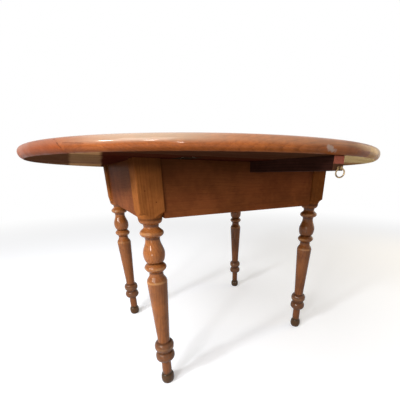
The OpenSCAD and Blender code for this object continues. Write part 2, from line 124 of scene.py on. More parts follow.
class Side(Enum):
    """The two sides of the table, by the sign of their Y."""

    NEAR = -1
    FAR = 1

    @property
    def word(self) -> str:
        """The word that starts the names of this side's pieces."""
        return self.name.lower()


@dataclass(frozen=True)
class Pattern:
    """A noise: how often it varies per metre along each axis, and how fine it gets."""

    scale: Place
    detail: float = 2.0
    roughness: float = 0.5

    @classmethod
    def even(cls, scale: float, detail: float = 2.0, roughness: float = 0.5) -> "Pattern":
        """A noise that varies as often along every axis."""
        return cls((scale, scale, scale), detail, roughness)


class Graph:
    """The node tree of a material or of the world, with short ways to add and join its nodes."""

    def __init__(self, owner: bpy.types.Material | bpy.types.World) -> None:
        """Starts an empty tree.

        Args:
            owner: The material or world that the tree belongs to.
        """
        self.owner = owner
        owner.use_nodes = True
        self.tree = owner.node_tree
        self.tree.nodes.clear()

    @classmethod
    def of_material(cls, name: str) -> "Graph":
        """The empty tree of a new material."""
        return cls(bpy.data.materials.new(name))

    @cached_property
    def place(self) -> Socket:
        """The object's own coordinates."""
        return self.add("ShaderNodeTexCoord").outputs["Object"]

    @cached_property
    def axes(self) -> dict[str, Socket]:
        """The object's own coordinates along each axis."""
        node = self.add("ShaderNodeSeparateXYZ", {0: self.place})
        return {name: node.outputs[name] for name in "XYZ"}

    @property
    def height(self) -> Socket:
        """The height above the floor."""
        return self.axes["Z"]

    def add(self, kind: str, inputs: dict | None = None, **settings: object) -> bpy.types.Node:
        """Adds a node, and sets or links its inputs.

        Args:
            kind: Node type, such as "ShaderNodeTexNoise".
            inputs: A value or an output socket for each input, by name or index.
            **settings: Properties of the node itself.

        Returns:
            The new node.
        """
        node = self.tree.nodes.new(kind)
        for key, value in settings.items():
            setattr(node, key, value)
        for socket, value in (inputs or {}).items():
            if isinstance(value, bpy.types.NodeSocket):
                self.tree.links.new(value, node.inputs[socket])
            else:
                node.inputs[socket].default_value = value
        return node

    def math(self, operation: str, *terms: object) -> Socket:
        """Adds a Math node.

        Args:
            operation: The node's operation, such as "MULTIPLY".
            *terms: Its values or sockets, in order.

        Returns:
            The result's socket.
        """
        return self.add("ShaderNodeMath", dict(enumerate(terms)), operation=operation).outputs[0]

    def times(self, a: object, b: object) -> Socket:
        """Multiplies two values."""
        return self.math("MULTIPLY", a, b)

    def plus(self, a: object, b: object) -> Socket:
        """Adds two values."""
        return self.math("ADD", a, b)

    def off(self, value: Socket, level: float) -> Socket:
        """How far a value lies from a level."""
        return self.math("ABSOLUTE", self.math("SUBTRACT", value, level))

    def vector(self, operation: str, *terms: object, output: str = "Vector") -> Socket:
        """Adds a Vector Math node.

        Args:
            operation: The node's operation, such as "SUBTRACT".
            *terms: Its vectors or sockets, in order.
            output: "Vector", or "Value" where the result is a number.

        Returns:
            The result's socket.
        """
        node = self.add("ShaderNodeVectorMath", dict(enumerate(terms)), operation=operation)
        return node.outputs[output]

    def away(self, spot: Point = (0.0, 0.0)) -> Socket:
        """How far each point lies from a spot, as seen from above.

        Args:
            spot: X and Y of the spot.

        Returns:
            The distance's socket.
        """
        flat = self.add("ShaderNodeCombineXYZ", {0: self.axes["X"], 1: self.axes["Y"]})
        return self.vector("DISTANCE", flat.outputs[0], (*spot, 0.0), output="Value")

    def stretch(self, vector: Socket, scale: Place = (1.0, 1.0, 1.0), shift: Place = ORIGIN) -> Socket:
        """Scales and moves a vector with a Mapping node.

        Args:
            vector: The vector's socket.
            scale: Factors along the three axes.
            shift: What is added after scaling.

        Returns:
            The new vector's socket.
        """
        node = self.add("ShaderNodeMapping", {"Vector": vector, "Scale": scale, "Location": shift})
        return node.outputs["Vector"]

    def noise(self, pattern: Pattern, vector: Socket | None = None, output: str = "Fac") -> Socket:
        """Adds a Noise Texture.

        Args:
            pattern: Its scale and fineness.
            vector: Where it is read, if not at the object's own coordinates.
            output: "Fac", or "Color" for three values at once.

        Returns:
            The socket of its value or colour.
        """
        node = self.add("ShaderNodeTexNoise", {
            "Vector": self.stretch(self.place if vector is None else vector, pattern.scale),
            "Scale": 1.0,
            "Detail": pattern.detail,
            "Roughness": pattern.roughness,
        })
        return node.outputs[output]

    def spread(self, value: Socket, span: Point, to: Point = (0.0, 1.0)) -> Socket:
        """Maps a range of a value to another, smoothly and with clamped ends.

        Args:
            value: The value's socket.
            span: Where the range starts and ends.
            to: Results at its start and end.

        Returns:
            The result's socket.
        """
        node = self.add(
            "ShaderNodeMapRange",
            {"Value": value, "From Min": span[0], "From Max": span[1], "To Min": to[0], "To Max": to[1]},
            interpolation_type="SMOOTHSTEP",
        )
        return node.outputs["Result"]

    def ramp(self, factor: Socket, stops: Sequence[tuple[float, Colour]]) -> Socket:
        """Adds a Color Ramp.

        Args:
            factor: What is looked up.
            stops: Position and colour of each stop, from low to high.

        Returns:
            The colour's socket.
        """
        node = self.add("ShaderNodeValToRGB", {"Fac": factor})
        elements = node.color_ramp.elements
        while len(elements) > 1:
            elements.remove(elements[-1])
        for index, (position, shade) in enumerate(stops):
            element = elements[0] if index == 0 else elements.new(position)
            element.position = position
            element.color = shade
        return node.outputs["Color"]

    def rings(self, factor: Socket, light: str, dark: str, stops: Point) -> Socket:
        """Colours the year's rings, light in early wood and dark in late wood.

        Args:
            factor: The place within a ring, from 0 to 1.
            light: Tone of the early wood.
            dark: Tone of the late wood.
            stops: Where the early wood ends and where the late wood is darkest.

        Returns:
            The colour's socket.
        """
        early, late = colour(light), colour(dark)
        return self.ramp(factor, [(0.0, early), (stops[0], early), (stops[1], late), (1.0, late)])

    def mix(self, factor: object, a: object, b: object, blend: str = "MIX") -> Socket:
        """Mixes two colours.

        Args:
            factor: How much of the second one shows.
            a: First colour or socket.
            b: Second colour or socket.
            blend: The blending mode.

        Returns:
            The mixed colour's socket.
        """
        factor_in, first_in, second_in, colour_out = 0, 6, 7, 2
        node = self.add(
            "ShaderNodeMix",
            {factor_in: factor, first_in: a, second_in: b},
            data_type="RGBA",
            blend_type=blend,
        )
        return node.outputs[colour_out]

    def tinge(self, body: Socket, tone: str, share: object) -> Socket:
        """Mixes a share of a tone into a colour."""
        return self.mix(share, body, colour(tone))

    def shade(self, body: Socket, factor: Socket) -> Socket:
        """Multiplies a colour by a brightness."""
        grey = self.add("ShaderNodeCombineColor", dict.fromkeys(range(3), factor)).outputs[0]
        return self.mix(1.0, body, grey, "MULTIPLY")

    def bump(self, height: Socket, strength: float, distance: float,
             normal: Socket | None = None) -> Socket:
        """Adds a Bump node.

        Args:
            height: The height's socket.
            strength: Strength of the effect.
            distance: Real height of a full step, in metres.
            normal: The normal that is bumped further, if there is one.

        Returns:
            The normal's socket.
        """
        inputs = {"Height": height, "Strength": strength, "Distance": distance}
        if normal is not None:
            inputs["Normal"] = normal
        return self.add("ShaderNodeBump", inputs).outputs["Normal"]

    def shader(self, kind: str, **inputs: object) -> Socket:
        """Adds a shader whose inputs are given by name, with an underscore for each space."""
        named = {name.replace("_", " "): value for name, value in inputs.items()}
        return self.add(kind, named).outputs[0]

    def either(self, share: Socket, first: Socket, second: Socket) -> Socket:
        """Mixes two shaders by the share of the second one."""
        return self.add("ShaderNodeMixShader", {0: share, 1: first, 2: second}).outputs[0]

    def seen(self) -> Socket:
        """Tells the rays that show a surface to the eye from those that only light others.

        Returns:
            A socket that is 1 where the surface is seen straight, mirrored or through glass.
        """
        path = self.add("ShaderNodeLightPath").outputs
        straight = self.math("MAXIMUM", path["Is Camera Ray"], path["Is Glossy Ray"])
        return self.math("MAXIMUM", straight, path["Is Transmission Ray"])

    def close(self, surface: Socket, output: str = "ShaderNodeOutputMaterial") -> bpy.types.ID:
        """Links the finished shader to the output.

        Args:
            surface: The finished shader's socket.
            output: Type of the output node.

        Returns:
            The finished material or world.
        """
        self.add(output, {"Surface": surface})
        return self.owner


@dataclass(frozen=True)
class Figure:
    """The natural figure of a piece of wood, which its varnished and bare faces share."""

    rings: Socket
    fibre: Socket
    pore: Socket
    cloud: Socket


@dataclass(frozen=True)
class ScarAndLightPatch:
    """A mark from one point to another, in metres. Some are scars that use has left in the varnish, and
    others are patches of painted highlight and painted shade.

    Its core, a share of its width, keeps the full tone. Its edge wanders by up to the
    raggedness, in widths, and the wander says how often it does so per width.
    """

    start: Place
    end: Place
    width: float
    tone: str
    share: float
    core: float = 0.35
    raggedness: float = 1.6
    wander: float = 0.6

    def draw(self, graph: Graph, body: Socket) -> Socket:
        """Adds the mark, ragged at its edges and faded at its ends.

        Args:
            graph: The wood's node tree.
            body: The colour under the mark.

        Returns:
            The colour with the mark.
        """
        start, along = Vector(self.start), Vector(self.end) - Vector(self.start)
        reach = self.raggedness * self.width
        wobble = graph.noise(Pattern.even(self.wander / self.width), output="Color")
        shifted = graph.vector("MULTIPLY_ADD", wobble, (reach, reach, reach), graph.place)
        centred = start + Vector((reach, reach, reach)) / 2
        off = graph.vector("SUBTRACT", shifted, centred)
        part = graph.vector("DOT_PRODUCT", off, along / along.length_squared, output="Value")
        held = graph.math("MINIMUM", graph.math("MAXIMUM", part, 0.0), 1.0)
        nearest = graph.vector("MULTIPLY", along, held)
        away = graph.vector("DISTANCE", off, nearest, output="Value")
        inside = graph.spread(away, (self.core * self.width, self.width), (self.share, 0.0))
        return graph.tinge(body, self.tone, inside)


@dataclass(frozen=True)
class PaintedShadow:
    """A painted shadow on the bare underside, between two lines across the table, in metres."""

    first: float
    last: float
    first_slope: float = 0.0
    share: float = 0.92
    fade: float = 0.005
    tone: str = "#330907"

    def draw(self, graph: Graph, across: Socket, body: Socket) -> Socket:
        """Adds the painted shadow, with soft ends.

        Args:
            graph: The wood's node tree.
            across: The place along X, with its unevenness.
            body: The colour under the painted shadow.

        Returns:
            The colour with the painted shadow.
        """
        skewed = graph.plus(across, graph.times(graph.axes["Y"], -self.first_slope))
        begun = graph.spread(skewed, (self.first - self.fade, self.first + self.fade))
        lasting = graph.spread(across, (self.last - self.fade, self.last + self.fade), (1.0, 0.0))
        return graph.tinge(body, self.tone, graph.times(graph.times(begun, lasting), self.share))


@dataclass(frozen=True)
class RimSheenAndShade:
    """A round edge with a painted sheen on its upper half, and painted shade with thinner varnish on its
    lower half.

    The painted sheen is strongest round one spot, as a painted highlight, and painted shade darkens both
    ends of the rim.
    The first size of a span is where its effect starts, and the film is the varnish's share.
    """

    radius: float
    sheen_span: Point
    shade_span: Point
    depth: float = 0.012
    uneven: Pattern = Pattern((9.0, 9.0, 60.0), 3.0)
    unevenness: float = 0.005
    # Tone and share of the painted sheen on the upper half.
    pale: str = "#aea08d"
    sheen_share: float = 0.68
    # The painted highlight: the sheen is strongest round this spot and fades over this span.
    highlight_spot: Point = (-0.37, -0.45)
    highlight_span: Point = (0.04, 0.20)
    highlight_least: float = 0.35
    # Tone and share of the painted shade on the lower half, and the share of varnish left there.
    dark: str = "#3a170b"
    shade_share: float = 0.26
    shade_film: float = 0.08
    # Painted shade towards both ends of the rim, and the share of varnish left there.
    end_shade_span: Point = (0.36, 0.52)
    end_shade_tone: str = "#6a2810"
    end_shade_share: float = 0.58
    end_shade_film: float = 0.25
    thin_span: Point = (0.28, 0.46)
    thin_film: float = 0.35

    def _masks(self, graph: Graph) -> tuple[Socket, Socket]:
        """Finds the zones of painted sheen and painted shade on the edge.

        Args:
            graph: The wood's node tree.

        Returns:
            How much painted sheen and how much painted shade each point gets, from 0 to 1.
        """
        on_rim = graph.spread(graph.away(), (self.radius - self.depth, self.radius))
        shift = graph.times(graph.math("SUBTRACT", graph.noise(self.uneven), 0.5), self.unevenness)
        height = graph.plus(graph.height, shift)
        pale = graph.spread(height, self.sheen_span)
        dark = graph.spread(height, self.shade_span[::-1], (1.0, 0.0))
        return graph.times(pale, on_rim), graph.times(dark, on_rim)

    def _end_shade(self, graph: Graph, to: Point) -> Socket:
        """A value that changes from one to the other towards both ends of the rim, where the painted shade
        is.
        """
        return graph.spread(graph.off(graph.axes["X"], 0.0), self.end_shade_span, to)

    def draw(self, graph: Graph, body: Socket) -> Socket:
        """Paints the sheen, the highlight and the shade onto the edge.

        Args:
            graph: The wood's node tree.
            body: The colour of the wood under them.

        Returns:
            The colour with the painted sheen, highlight and shade.
        """
        pale, dark = self._masks(graph)
        least = self.highlight_least * self.sheen_share
        highlight_share = graph.spread(graph.away(self.highlight_spot), self.highlight_span, (self.sheen_share, least))
        body = graph.tinge(body, self.pale, graph.times(pale, highlight_share))
        body = graph.tinge(body, self.end_shade_tone, self._end_shade(graph, (0.0, self.end_shade_share)))
        return graph.tinge(body, self.dark, graph.times(dark, self.shade_share))

    def film(self, graph: Graph) -> Socket:
        """Thins the varnish in the painted shade below and at the ends, and away from the painted highlight.

        Args:
            graph: The wood's node tree.

        Returns:
            The share of the varnish that is left.
        """
        _, dark = self._masks(graph)
        left = graph.spread(dark, (0.0, 1.0), (1.0, self.shade_film))
        thin = graph.spread(graph.away(self.highlight_spot), self.thin_span, (1.0, self.thin_film))
        return graph.times(graph.times(left, thin), self._end_shade(graph, (1.0, self.end_shade_film)))


@dataclass(frozen=True)
class TurningWear:
    """What use has left on a turned leg. Heights and reaches are in metres.

    Dirt gathers in the grooves, the ridges are lightened partly as wear and partly as a painted highlight,
    dust lies on the rings, the foot is scuffed and the shaft is darker towards the floor.
    """

    grooves: tuple[float, ...]
    ridges: tuple[float, ...]
    dusty: Point
    scuffed_below: float = 0.045
    dim_below: float = 0.60
    dim_share: float = 0.32
    groove_reach: float = 0.006
    groove_share: float = 0.6
    # Tone of the lighter ridges: wear, and a painted highlight.
    rub_and_highlight_tone: str = "#c0925f"
    rubbing: Pattern = Pattern.even(28.0, 3.0)
    rubbing_span: Point = (0.38, 0.62)
    rubbing_shares: Point = (0.2, 0.95)
    ridge_span: Point = (0.0006, 0.0055)
    ridge_highlight_share: float = 0.5
    dust: str = "#5a4030"
    dusting: Pattern = Pattern.even(55.0, 3.0)
    dusting_span: Point = (0.3, 0.7)
    dusting_shares: Point = (0.3, 0.75)
    dust_past: float = 0.004
    dust_within: float = 0.002
    scuff_line: Pattern = Pattern.even(70.0, 3.0)
    scuff_raggedness: float = 0.03
    scuff_fade: Point = (0.8, 1.1)
    scuff_share: float = 0.68

    def draw(self, graph: Graph, body: Socket) -> Socket:
        """Adds the wear and the painted highlight on the ridges to the wood's colour.

        Args:
            graph: The wood's node tree.
            body: The colour of the unworn wood.

        Returns:
            The colour with the wear.
        """
        # Darker towards the floor.
        dim = graph.spread(graph.height, (0.0, self.dim_below), (self.dim_share, 0.0))
        body = graph.tinge(body, DIRT_AND_SHADE, dim)
        for groove in self.grooves:
            off = graph.off(graph.height, groove)
            near = graph.spread(off, (0.0, self.groove_reach), (self.groove_share, 0.0))
            body = graph.tinge(body, DIRT_AND_SHADE, near)
        # Ridges lightened, partly as wear and partly as a painted highlight.
        rubbing_and_highlight = graph.spread(graph.noise(self.rubbing), self.rubbing_span, self.rubbing_shares)
        for ridge in self.ridges:
            near = graph.spread(graph.off(graph.height, ridge), self.ridge_span, (self.ridge_highlight_share, 0.0))
            body = graph.tinge(body, self.rub_and_highlight_tone, graph.times(near, rubbing_and_highlight))
        return self._scuffed(graph, self._dusted(graph, body))

    def _dusted(self, graph: Graph, body: Socket) -> Socket:
        """Adds dull dust on the rings near the foot.

        Args:
            graph: The wood's node tree.
            body: The colour of the clean rings.

        Returns:
            The colour with the dust.
        """
        low, high = self.dusty
        over = graph.spread(graph.height, (low - self.dust_past, low + self.dust_within))
        under = graph.spread(graph.height, (high - self.dust_within, high + self.dust_past), (1.0, 0.0))
        patch = graph.spread(graph.noise(self.dusting), self.dusting_span, self.dusting_shares)
        return graph.tinge(body, self.dust, graph.times(graph.times(over, under), patch))

    def _scuffed(self, graph: Graph, body: Socket) -> Socket:
        """Adds grime on the foot, up to a ragged line.

        Args:
            graph: The wood's node tree.
            body: The colour of the clean foot.

        Returns:
            The colour with the grime.
        """
        rough = self.scuff_raggedness
        edge = graph.math("MULTIPLY_ADD", graph.noise(self.scuff_line), rough, -rough / 2)
        line = (self.scuff_fade[0] * self.scuffed_below, self.scuff_fade[1] * self.scuffed_below)
        low = graph.spread(graph.plus(graph.height, edge), line, (self.scuff_share, 0.0))
        return graph.tinge(body, DARK_OLIVE, low)


@dataclass(frozen=True)
class SawnEnd:
    """The sawn end of a loper, reddish above and dark olive below a ragged line, in metres."""

    face: float
    middle: float
    tone: str = "#a8604f"
    share: float = 0.9
    depth: float = 0.0008
    line: Pattern = Pattern.even(160.0)
    raggedness: float = 0.004
    drop: float = 0.003
    low_share: float = 0.85
    specks: Pattern = Pattern.even(420.0)
    speck_span: Point = (0.5, 0.75)
    speck_share: float = 0.5

    def draw(self, graph: Graph, body: Socket) -> Socket:
        """Colours the end.

        Args:
            graph: The wood's node tree.
            body: The colour of the other faces.

        Returns:
            The colour with the end.
        """
        on_end = graph.math("LESS_THAN", graph.off(graph.axes["Y"], self.face), self.depth)
        line = graph.math("MULTIPLY_ADD", graph.noise(self.line), self.raggedness, self.middle - self.drop)
        low = graph.math("LESS_THAN", graph.height, line)
        tone = graph.mix(graph.times(low, self.low_share), colour(self.tone), colour(DARK_OLIVE))
        speck = graph.spread(graph.noise(self.specks), self.speck_span, (0.0, self.speck_share))
        tone = graph.tinge(tone, DIRT_AND_SHADE, speck)
        return graph.mix(graph.times(on_end, self.share), body, tone)


@dataclass(frozen=True)
class BareFace:
    """The planed face of a board that was never varnished, below a height, with its painted shadows."""

    below: float
    light: str
    dark: str
    painted_shadows: tuple[PaintedShadow, ...] = ()
    ring_stops: Point = (0.6, 0.95)
    fibre_span: Point = (0.35, 0.75)
    fibre_share: float = 0.5
    cloud: str = "#6d4a30"
    cloud_span: Point = (0.45, 0.75)
    cloud_share: float = 0.3
    pore_share: float = 0.3
    drift: Pattern = Pattern.even(9.0, 3.0)
    drift_width: float = 0.012
    line: Pattern = Pattern.even(60.0)
    line_raggedness: float = 0.0008
    line_width: float = 0.0012
    roughness: float = 0.8
    fibre_relief: float = 1.2
    relief_strength: float = 0.6
    relief_depth: float = 0.0002

    def shader(self, graph: Graph, figure: Figure) -> Socket:
        """Makes the shader of the bare wood.

        Args:
            graph: The wood's node tree.
            figure: The wood's natural figure.

        Returns:
            The shader's socket.
        """
        body = graph.rings(figure.rings, self.light, self.dark, self.ring_stops)
        streak = graph.spread(figure.fibre, self.fibre_span, (0.0, self.fibre_share))
        cloud = graph.spread(figure.cloud, self.cloud_span, (0.0, self.cloud_share))
        body = graph.tinge(graph.tinge(body, self.dark, streak), self.cloud, cloud)
        drift = graph.math("MULTIPLY_ADD", graph.noise(self.drift), self.drift_width, -self.drift_width / 2)
        across = graph.plus(graph.axes["X"], drift)
        # Painted shadows on the underside.
        for painted_shadow in self.painted_shadows:
            body = painted_shadow.draw(graph, across, body)
        body = graph.tinge(body, DIRT_AND_SHADE, graph.times(figure.pore, self.pore_share))
        relief = graph.math("SUBTRACT", graph.times(figure.fibre, self.fibre_relief), figure.pore)
        return graph.shader(
            "ShaderNodeBsdfPrincipled",
            Base_Color=body,
            Roughness=self.roughness,
            Specular_IOR_Level=0.0,
            Normal=graph.bump(relief, self.relief_strength, self.relief_depth),
        )

    def above(self, graph: Graph) -> Socket:
        """1 above the ragged line at which the varnish starts, and 0 below it."""
        ragged = graph.plus(graph.height, graph.times(graph.noise(self.line), self.line_raggedness))
        return graph.spread(ragged, (self.below, self.below + self.line_width))


@dataclass(frozen=True)
class WoodFinish:
    """Solid wood with rings, fibres and pores, under more or less varnish.

    The rings lie round the middle of the tree, so that boards show long figures on their
    faces and arcs on their ends. Heights and places are in metres. A span of a noise holds
    the values between which its patches fade in, and a share says how strong they get.
    """

    name: str
    grain: Grain
    pith: Point
    tones: Tones
    ring_width: float = 0.0065
    ring_contrast: float = 0.38
    ring_stops: Point = (0.62, 0.92)
    ring_wander: float = 0.055
    wandering: Pattern = Pattern((1.3, 2.2, 2.2))
    years: Pattern = Pattern((0.5, 16.0, 16.0))
    year_drift: float = 2.5
    fray: Pattern = Pattern((6.0, 60.0, 60.0))
    fray_width: float = 0.35
    fibres: Pattern = Pattern((9.0, 420.0, 420.0), 3.0, 0.6)
    streaks: float = 0.12
    streak_span: Point = (0.3, 0.7)
    clouds: Pattern = Pattern((1.6, 7.0, 7.0), 3.0)
    tint_share: float = 0.5
    tint_span: Point = (0.35, 0.68)
    broad_mottle: Pattern = Pattern.even(13.0, 3.0)
    small_mottle: Pattern = Pattern.even(75.0)
    broad_share: float = 0.7
    mottling: float = 0.16
    mottle_span: Point = (0.36, 0.64)
    pores: Pattern = Pattern((38.0, 1150.0, 1150.0), 1.0)
    pore_span: Point = (0.60, 0.72)
    pore_share: float = 0.25
    dents_per_metre: float = 34.0
    dent_span: Point = (0.03, 0.075)
    dent_share: float = 0.8
    dented: Pattern = Pattern.even(9.0, 1.0)
    dented_span: Point = (0.52, 0.66)
    scuffs: Pattern = Pattern((11.0, 11.0, 26.0), 5.0, 0.7)
    scuff_span: Point = (0.56, 0.74)
    scuff_share: float = 0.22
    # Painted shade under the top: darker from the first height up to the second, by up to the share below.
    painted_shade_above: Point | None = None
    dim_share: float = 0.75
    varnish: float = 0.85
    varnish_roughness: float = 0.1
    varnish_ior: float = 1.3
    varnish_waves: Pattern = Pattern.even(24.0, 2.0, 0.4)
    wave_strength: float = 0.25
    wave_depth: float = 0.0010
    dull_above: float | None = None
    dull_span: Point = (-0.02, 0.01)
    dull_share: float = 0.02
    roughness: float = 0.36
    specular: float = 0.04
    smudges: Pattern = Pattern.even(14.0, 4.0, 0.65)
    smudge_span: Point = (0.3, 0.75)
    smudge_roughness: Point = (-0.06, 0.16)
    fibre_relief: float = 0.5
    ring_relief: float = 0.3
    relief_strength: float = 0.35
    relief_depth: float = 0.00012
    film_relief: float = 0.25
    film_strength: float = 0.25
    turning: TurningWear | None = None
    sawn_end: SawnEnd | None = None
    rim_sheen_and_shade: RimSheenAndShade | None = None
    bare_face: BareFace | None = None
    scars_and_light_patches: tuple[ScarAndLightPatch, ...] = ()

    def build(self) -> bpy.types.Material:
        """Makes the material.

        Returns:
            The finished material.
        """
        graph = Graph.of_material(self.name)
        figure = self._figure(graph)
        body = self._mottled(graph, self._plain(graph, figure))
        # Painted shade under the top.
        if self.painted_shade_above is not None:
            body = graph.tinge(body, DIRT_AND_SHADE, graph.spread(graph.height, self.painted_shade_above, (0.0, self.dim_share)))
        for marks in (self.turning, self.sawn_end):
            if marks is not None:
                body = marks.draw(graph, body)
        body = self._worn(graph, body)
        # Painted sheen, highlight and shade on the rim.
        if self.rim_sheen_and_shade is not None:
            body = self.rim_sheen_and_shade.draw(graph, body)
        # Scars, and patches of painted highlight and painted shade.
        for scar_or_light_patch in self.scars_and_light_patches:
            body = scar_or_light_patch.draw(graph, body)
        varnished = self._varnished(graph, figure, body)
        if self.bare_face is None:
            return graph.close(varnished)
        bare = self.bare_face.shader(graph, figure)
        return graph.close(graph.either(self.bare_face.above(graph), bare, varnished))

    def _figure(self, graph: Graph) -> Figure:
        """Finds the natural figure of the wood.

        Args:
            graph: The wood's node tree.

        Returns:
            The sockets of its rings, fibres, pores and clouds.
        """
        turned = graph.add("ShaderNodeCombineXYZ", dict(enumerate(graph.axes[a] for a in self.grain.value)))
        along = graph.stretch(turned.outputs[0], shift=(0.0, -self.pith[0], -self.pith[1]))
        pore = graph.spread(graph.noise(self.pores, along), self.pore_span)
        cloud = graph.noise(self.clouds, along)
        return Figure(self._rings(graph, along), graph.noise(self.fibres, along), pore, cloud)

    def _rings(self, graph: Graph, along: Socket) -> Socket:
        """Finds the year's rings round the middle of the tree.

        Args:
            graph: The wood's node tree.
            along: Coordinates whose X runs with the grain and whose origin is on the pith.

        Returns:
            The place within a ring, from 0 at its start to 1 at its dark end.
        """
        wander = graph.noise(self.wandering, along, "Color")
        moved = graph.vector("MULTIPLY_ADD", wander, (0.0, self.ring_wander, self.ring_wander), along)
        radius = graph.vector("LENGTH", graph.vector("MULTIPLY", moved, (0.0, 1.0, 1.0)), output="Value")
        count = graph.times(radius, 1.0 / self.ring_width)
        count = graph.plus(count, graph.times(graph.noise(self.years, along), self.year_drift))
        count = graph.plus(count, graph.times(graph.noise(self.fray, along), self.fray_width))
        return graph.math("FRACT", count)

    def _plain(self, graph: Graph, figure: Figure) -> Socket:
        """Colours the fresh wood by its figure.

        Args:
            graph: The wood's node tree.
            figure: The wood's natural figure.

        Returns:
            The colour's socket.
        """
        light, dark, tint = self.tones
        body = graph.rings(figure.rings, light, dark, self.ring_stops)
        plain = graph.mix(0.5, colour(light), colour(dark))
        body = graph.mix(self.ring_contrast, plain, body)
        body = graph.tinge(body, tint, graph.spread(figure.cloud, self.tint_span, (0.0, self.tint_share)))
        streak = graph.spread(figure.fibre, self.streak_span, (1.0 - self.streaks, 1.0 + self.streaks))
        body = graph.shade(body, streak)
        return graph.tinge(body, DIRT_AND_SHADE, graph.times(figure.pore, self.pore_share))

    def _mottled(self, graph: Graph, body: Socket) -> Socket:
        """Adds lighter and darker clouds, a thumb wide, in the colour under the varnish.

        Args:
            graph: The wood's node tree.
            body: The even colour.

        Returns:
            The mottled colour.
        """
        broad = graph.times(graph.noise(self.broad_mottle), self.broad_share)
        small = graph.times(graph.noise(self.small_mottle), 1.0 - self.broad_share)
        brightness = (1.0 - self.mottling, 1.0 + self.mottling)
        return graph.shade(body, graph.spread(graph.plus(broad, small), self.mottle_span, brightness))

    def _worn(self, graph: Graph, body: Socket) -> Socket:
        """Adds scuffs, small dark dents and spots that years of use leave.

        Args:
            graph: The wood's node tree.
            body: The colour of the unworn wood.

        Returns:
            The colour with the wear.
        """
        spots = graph.add("ShaderNodeTexVoronoi", {"Vector": graph.place, "Scale": self.dents_per_metre},
                          feature="F1")
        near = graph.spread(spots.outputs["Distance"], self.dent_span, (self.dent_share, 0.0))
        some = graph.spread(graph.noise(self.dented), self.dented_span)
        body = graph.tinge(body, DIRT_AND_SHADE, graph.times(near, some))
        scuff = graph.spread(graph.noise(self.scuffs), self.scuff_span, (0.0, self.scuff_share))
        return graph.tinge(body, self.tones[0], scuff)

    def _film(self, graph: Graph) -> Socket | float:
        """Says how much of the varnish is left.

        Args:
            graph: The wood's node tree.

        Returns:
            Its share, as a socket where it differs over the piece.
        """
        if self.rim_sheen_and_shade is not None:
            return graph.times(self.rim_sheen_and_shade.film(graph), self.varnish)
        if self.dull_above is None:
            return self.varnish
        low, high = (self.dull_above + reach for reach in self.dull_span)
        return graph.spread(graph.height, (low, high), (self.varnish, self.dull_share * self.varnish))

    def _varnished(self, graph: Graph, figure: Figure, body: Socket) -> Socket:
        """Makes the shader of the wood under its varnish.

        Args:
            graph: The wood's node tree.
            figure: The wood's natural figure.
            body: The wood's colour.

        Returns:
            The shader's socket.
        """
        relief = graph.math("SUBTRACT", graph.times(figure.fibre, self.fibre_relief), figure.pore)
        relief = graph.plus(relief, graph.times(figure.rings, self.ring_relief))
        film = graph.bump(graph.noise(self.varnish_waves), self.wave_strength, self.wave_depth)
        shallow = graph.times(relief, self.film_relief)
        dull = [self.roughness + change for change in self.smudge_roughness]
        return graph.shader(
            "ShaderNodeBsdfPrincipled",
            Base_Color=body,
            Roughness=graph.spread(graph.noise(self.smudges), self.smudge_span, (dull[0], dull[1])),
            Specular_IOR_Level=self.specular,
            Coat_Weight=self._film(graph),
            Coat_Roughness=self.varnish_roughness,
            Coat_IOR=self.varnish_ior,
            Normal=graph.bump(relief, self.relief_strength, self.relief_depth),
            Coat_Normal=graph.bump(shallow, self.film_strength, self.relief_depth, film),
        )


@dataclass(frozen=True)
class MetalFinish:
    """Old metal with tarnish in patches and fine scratches."""

    name: str
    bright: str
    tarnish: str
    roughness: float
    tarnish_share: float
    patches_per_metre: float = 260.0
    metallic: float = 1.0
    specular: float = 0.5
    patch_span: Point = (0.38, 0.66)
    tarnish_roughness: float = 0.35
    scratches: Pattern = Pattern((900.0, 900.0, 2600.0))
    relief_strength: float = 0.2
    relief_depth: float = 0.0001

    def build(self) -> bpy.types.Material:
        """Makes the material.

        Returns:
            The finished material.
        """
        graph = Graph.of_material(self.name)
        patch = graph.noise(Pattern.even(self.patches_per_metre, 4.0, 0.6))
        dark = graph.spread(patch, self.patch_span, (0.0, self.tarnish_share))
        relief = graph.plus(graph.noise(self.scratches), dark)
        return graph.close(graph.shader(
            "ShaderNodeBsdfPrincipled",
            Base_Color=graph.mix(dark, colour(self.bright), colour(self.tarnish)),
            Metallic=self.metallic,
            Specular_IOR_Level=self.specular,
            Roughness=graph.plus(graph.times(dark, self.tarnish_roughness), self.roughness),
            Normal=graph.bump(relief, self.relief_strength, self.relief_depth),
        ))


@dataclass(frozen=True)
class FloorFinish:
    """Pale floor that keeps the shadow, fades to white away from the table and is clear from below."""

    name: str = "pale_floor"
    seen_tone: Place = (0.80, 0.87, 0.97)
    glow: float = 0.30
    bounce_shade: float = 0.53
    fade: Point = (1.3, 4.5)

    def build(self) -> bpy.types.Material:
        """Makes the material.

        Returns:
            The finished material.
        """
        graph = Graph.of_material(self.name)
        surface = graph.shader("ShaderNodeBsdfDiffuse", Color=(*self.seen_tone, 1.0))
        light = graph.shader("ShaderNodeEmission", Strength=self.glow)
        lit = graph.add("ShaderNodeAddShader", {0: surface, 1: light}).outputs[0]
        white = graph.shader("ShaderNodeEmission", Strength=1.0)
        shown = graph.either(graph.spread(graph.away(), self.fade), lit, white)
        dim = graph.shader("ShaderNodeBsdfDiffuse", Color=(*(self.bounce_shade,) * 3, 1.0))
        both = graph.either(graph.seen(), dim, shown)
        below = graph.add("ShaderNodeNewGeometry").outputs["Backfacing"]
        return graph.close(graph.either(below, both, graph.shader("ShaderNodeBsdfTransparent")))


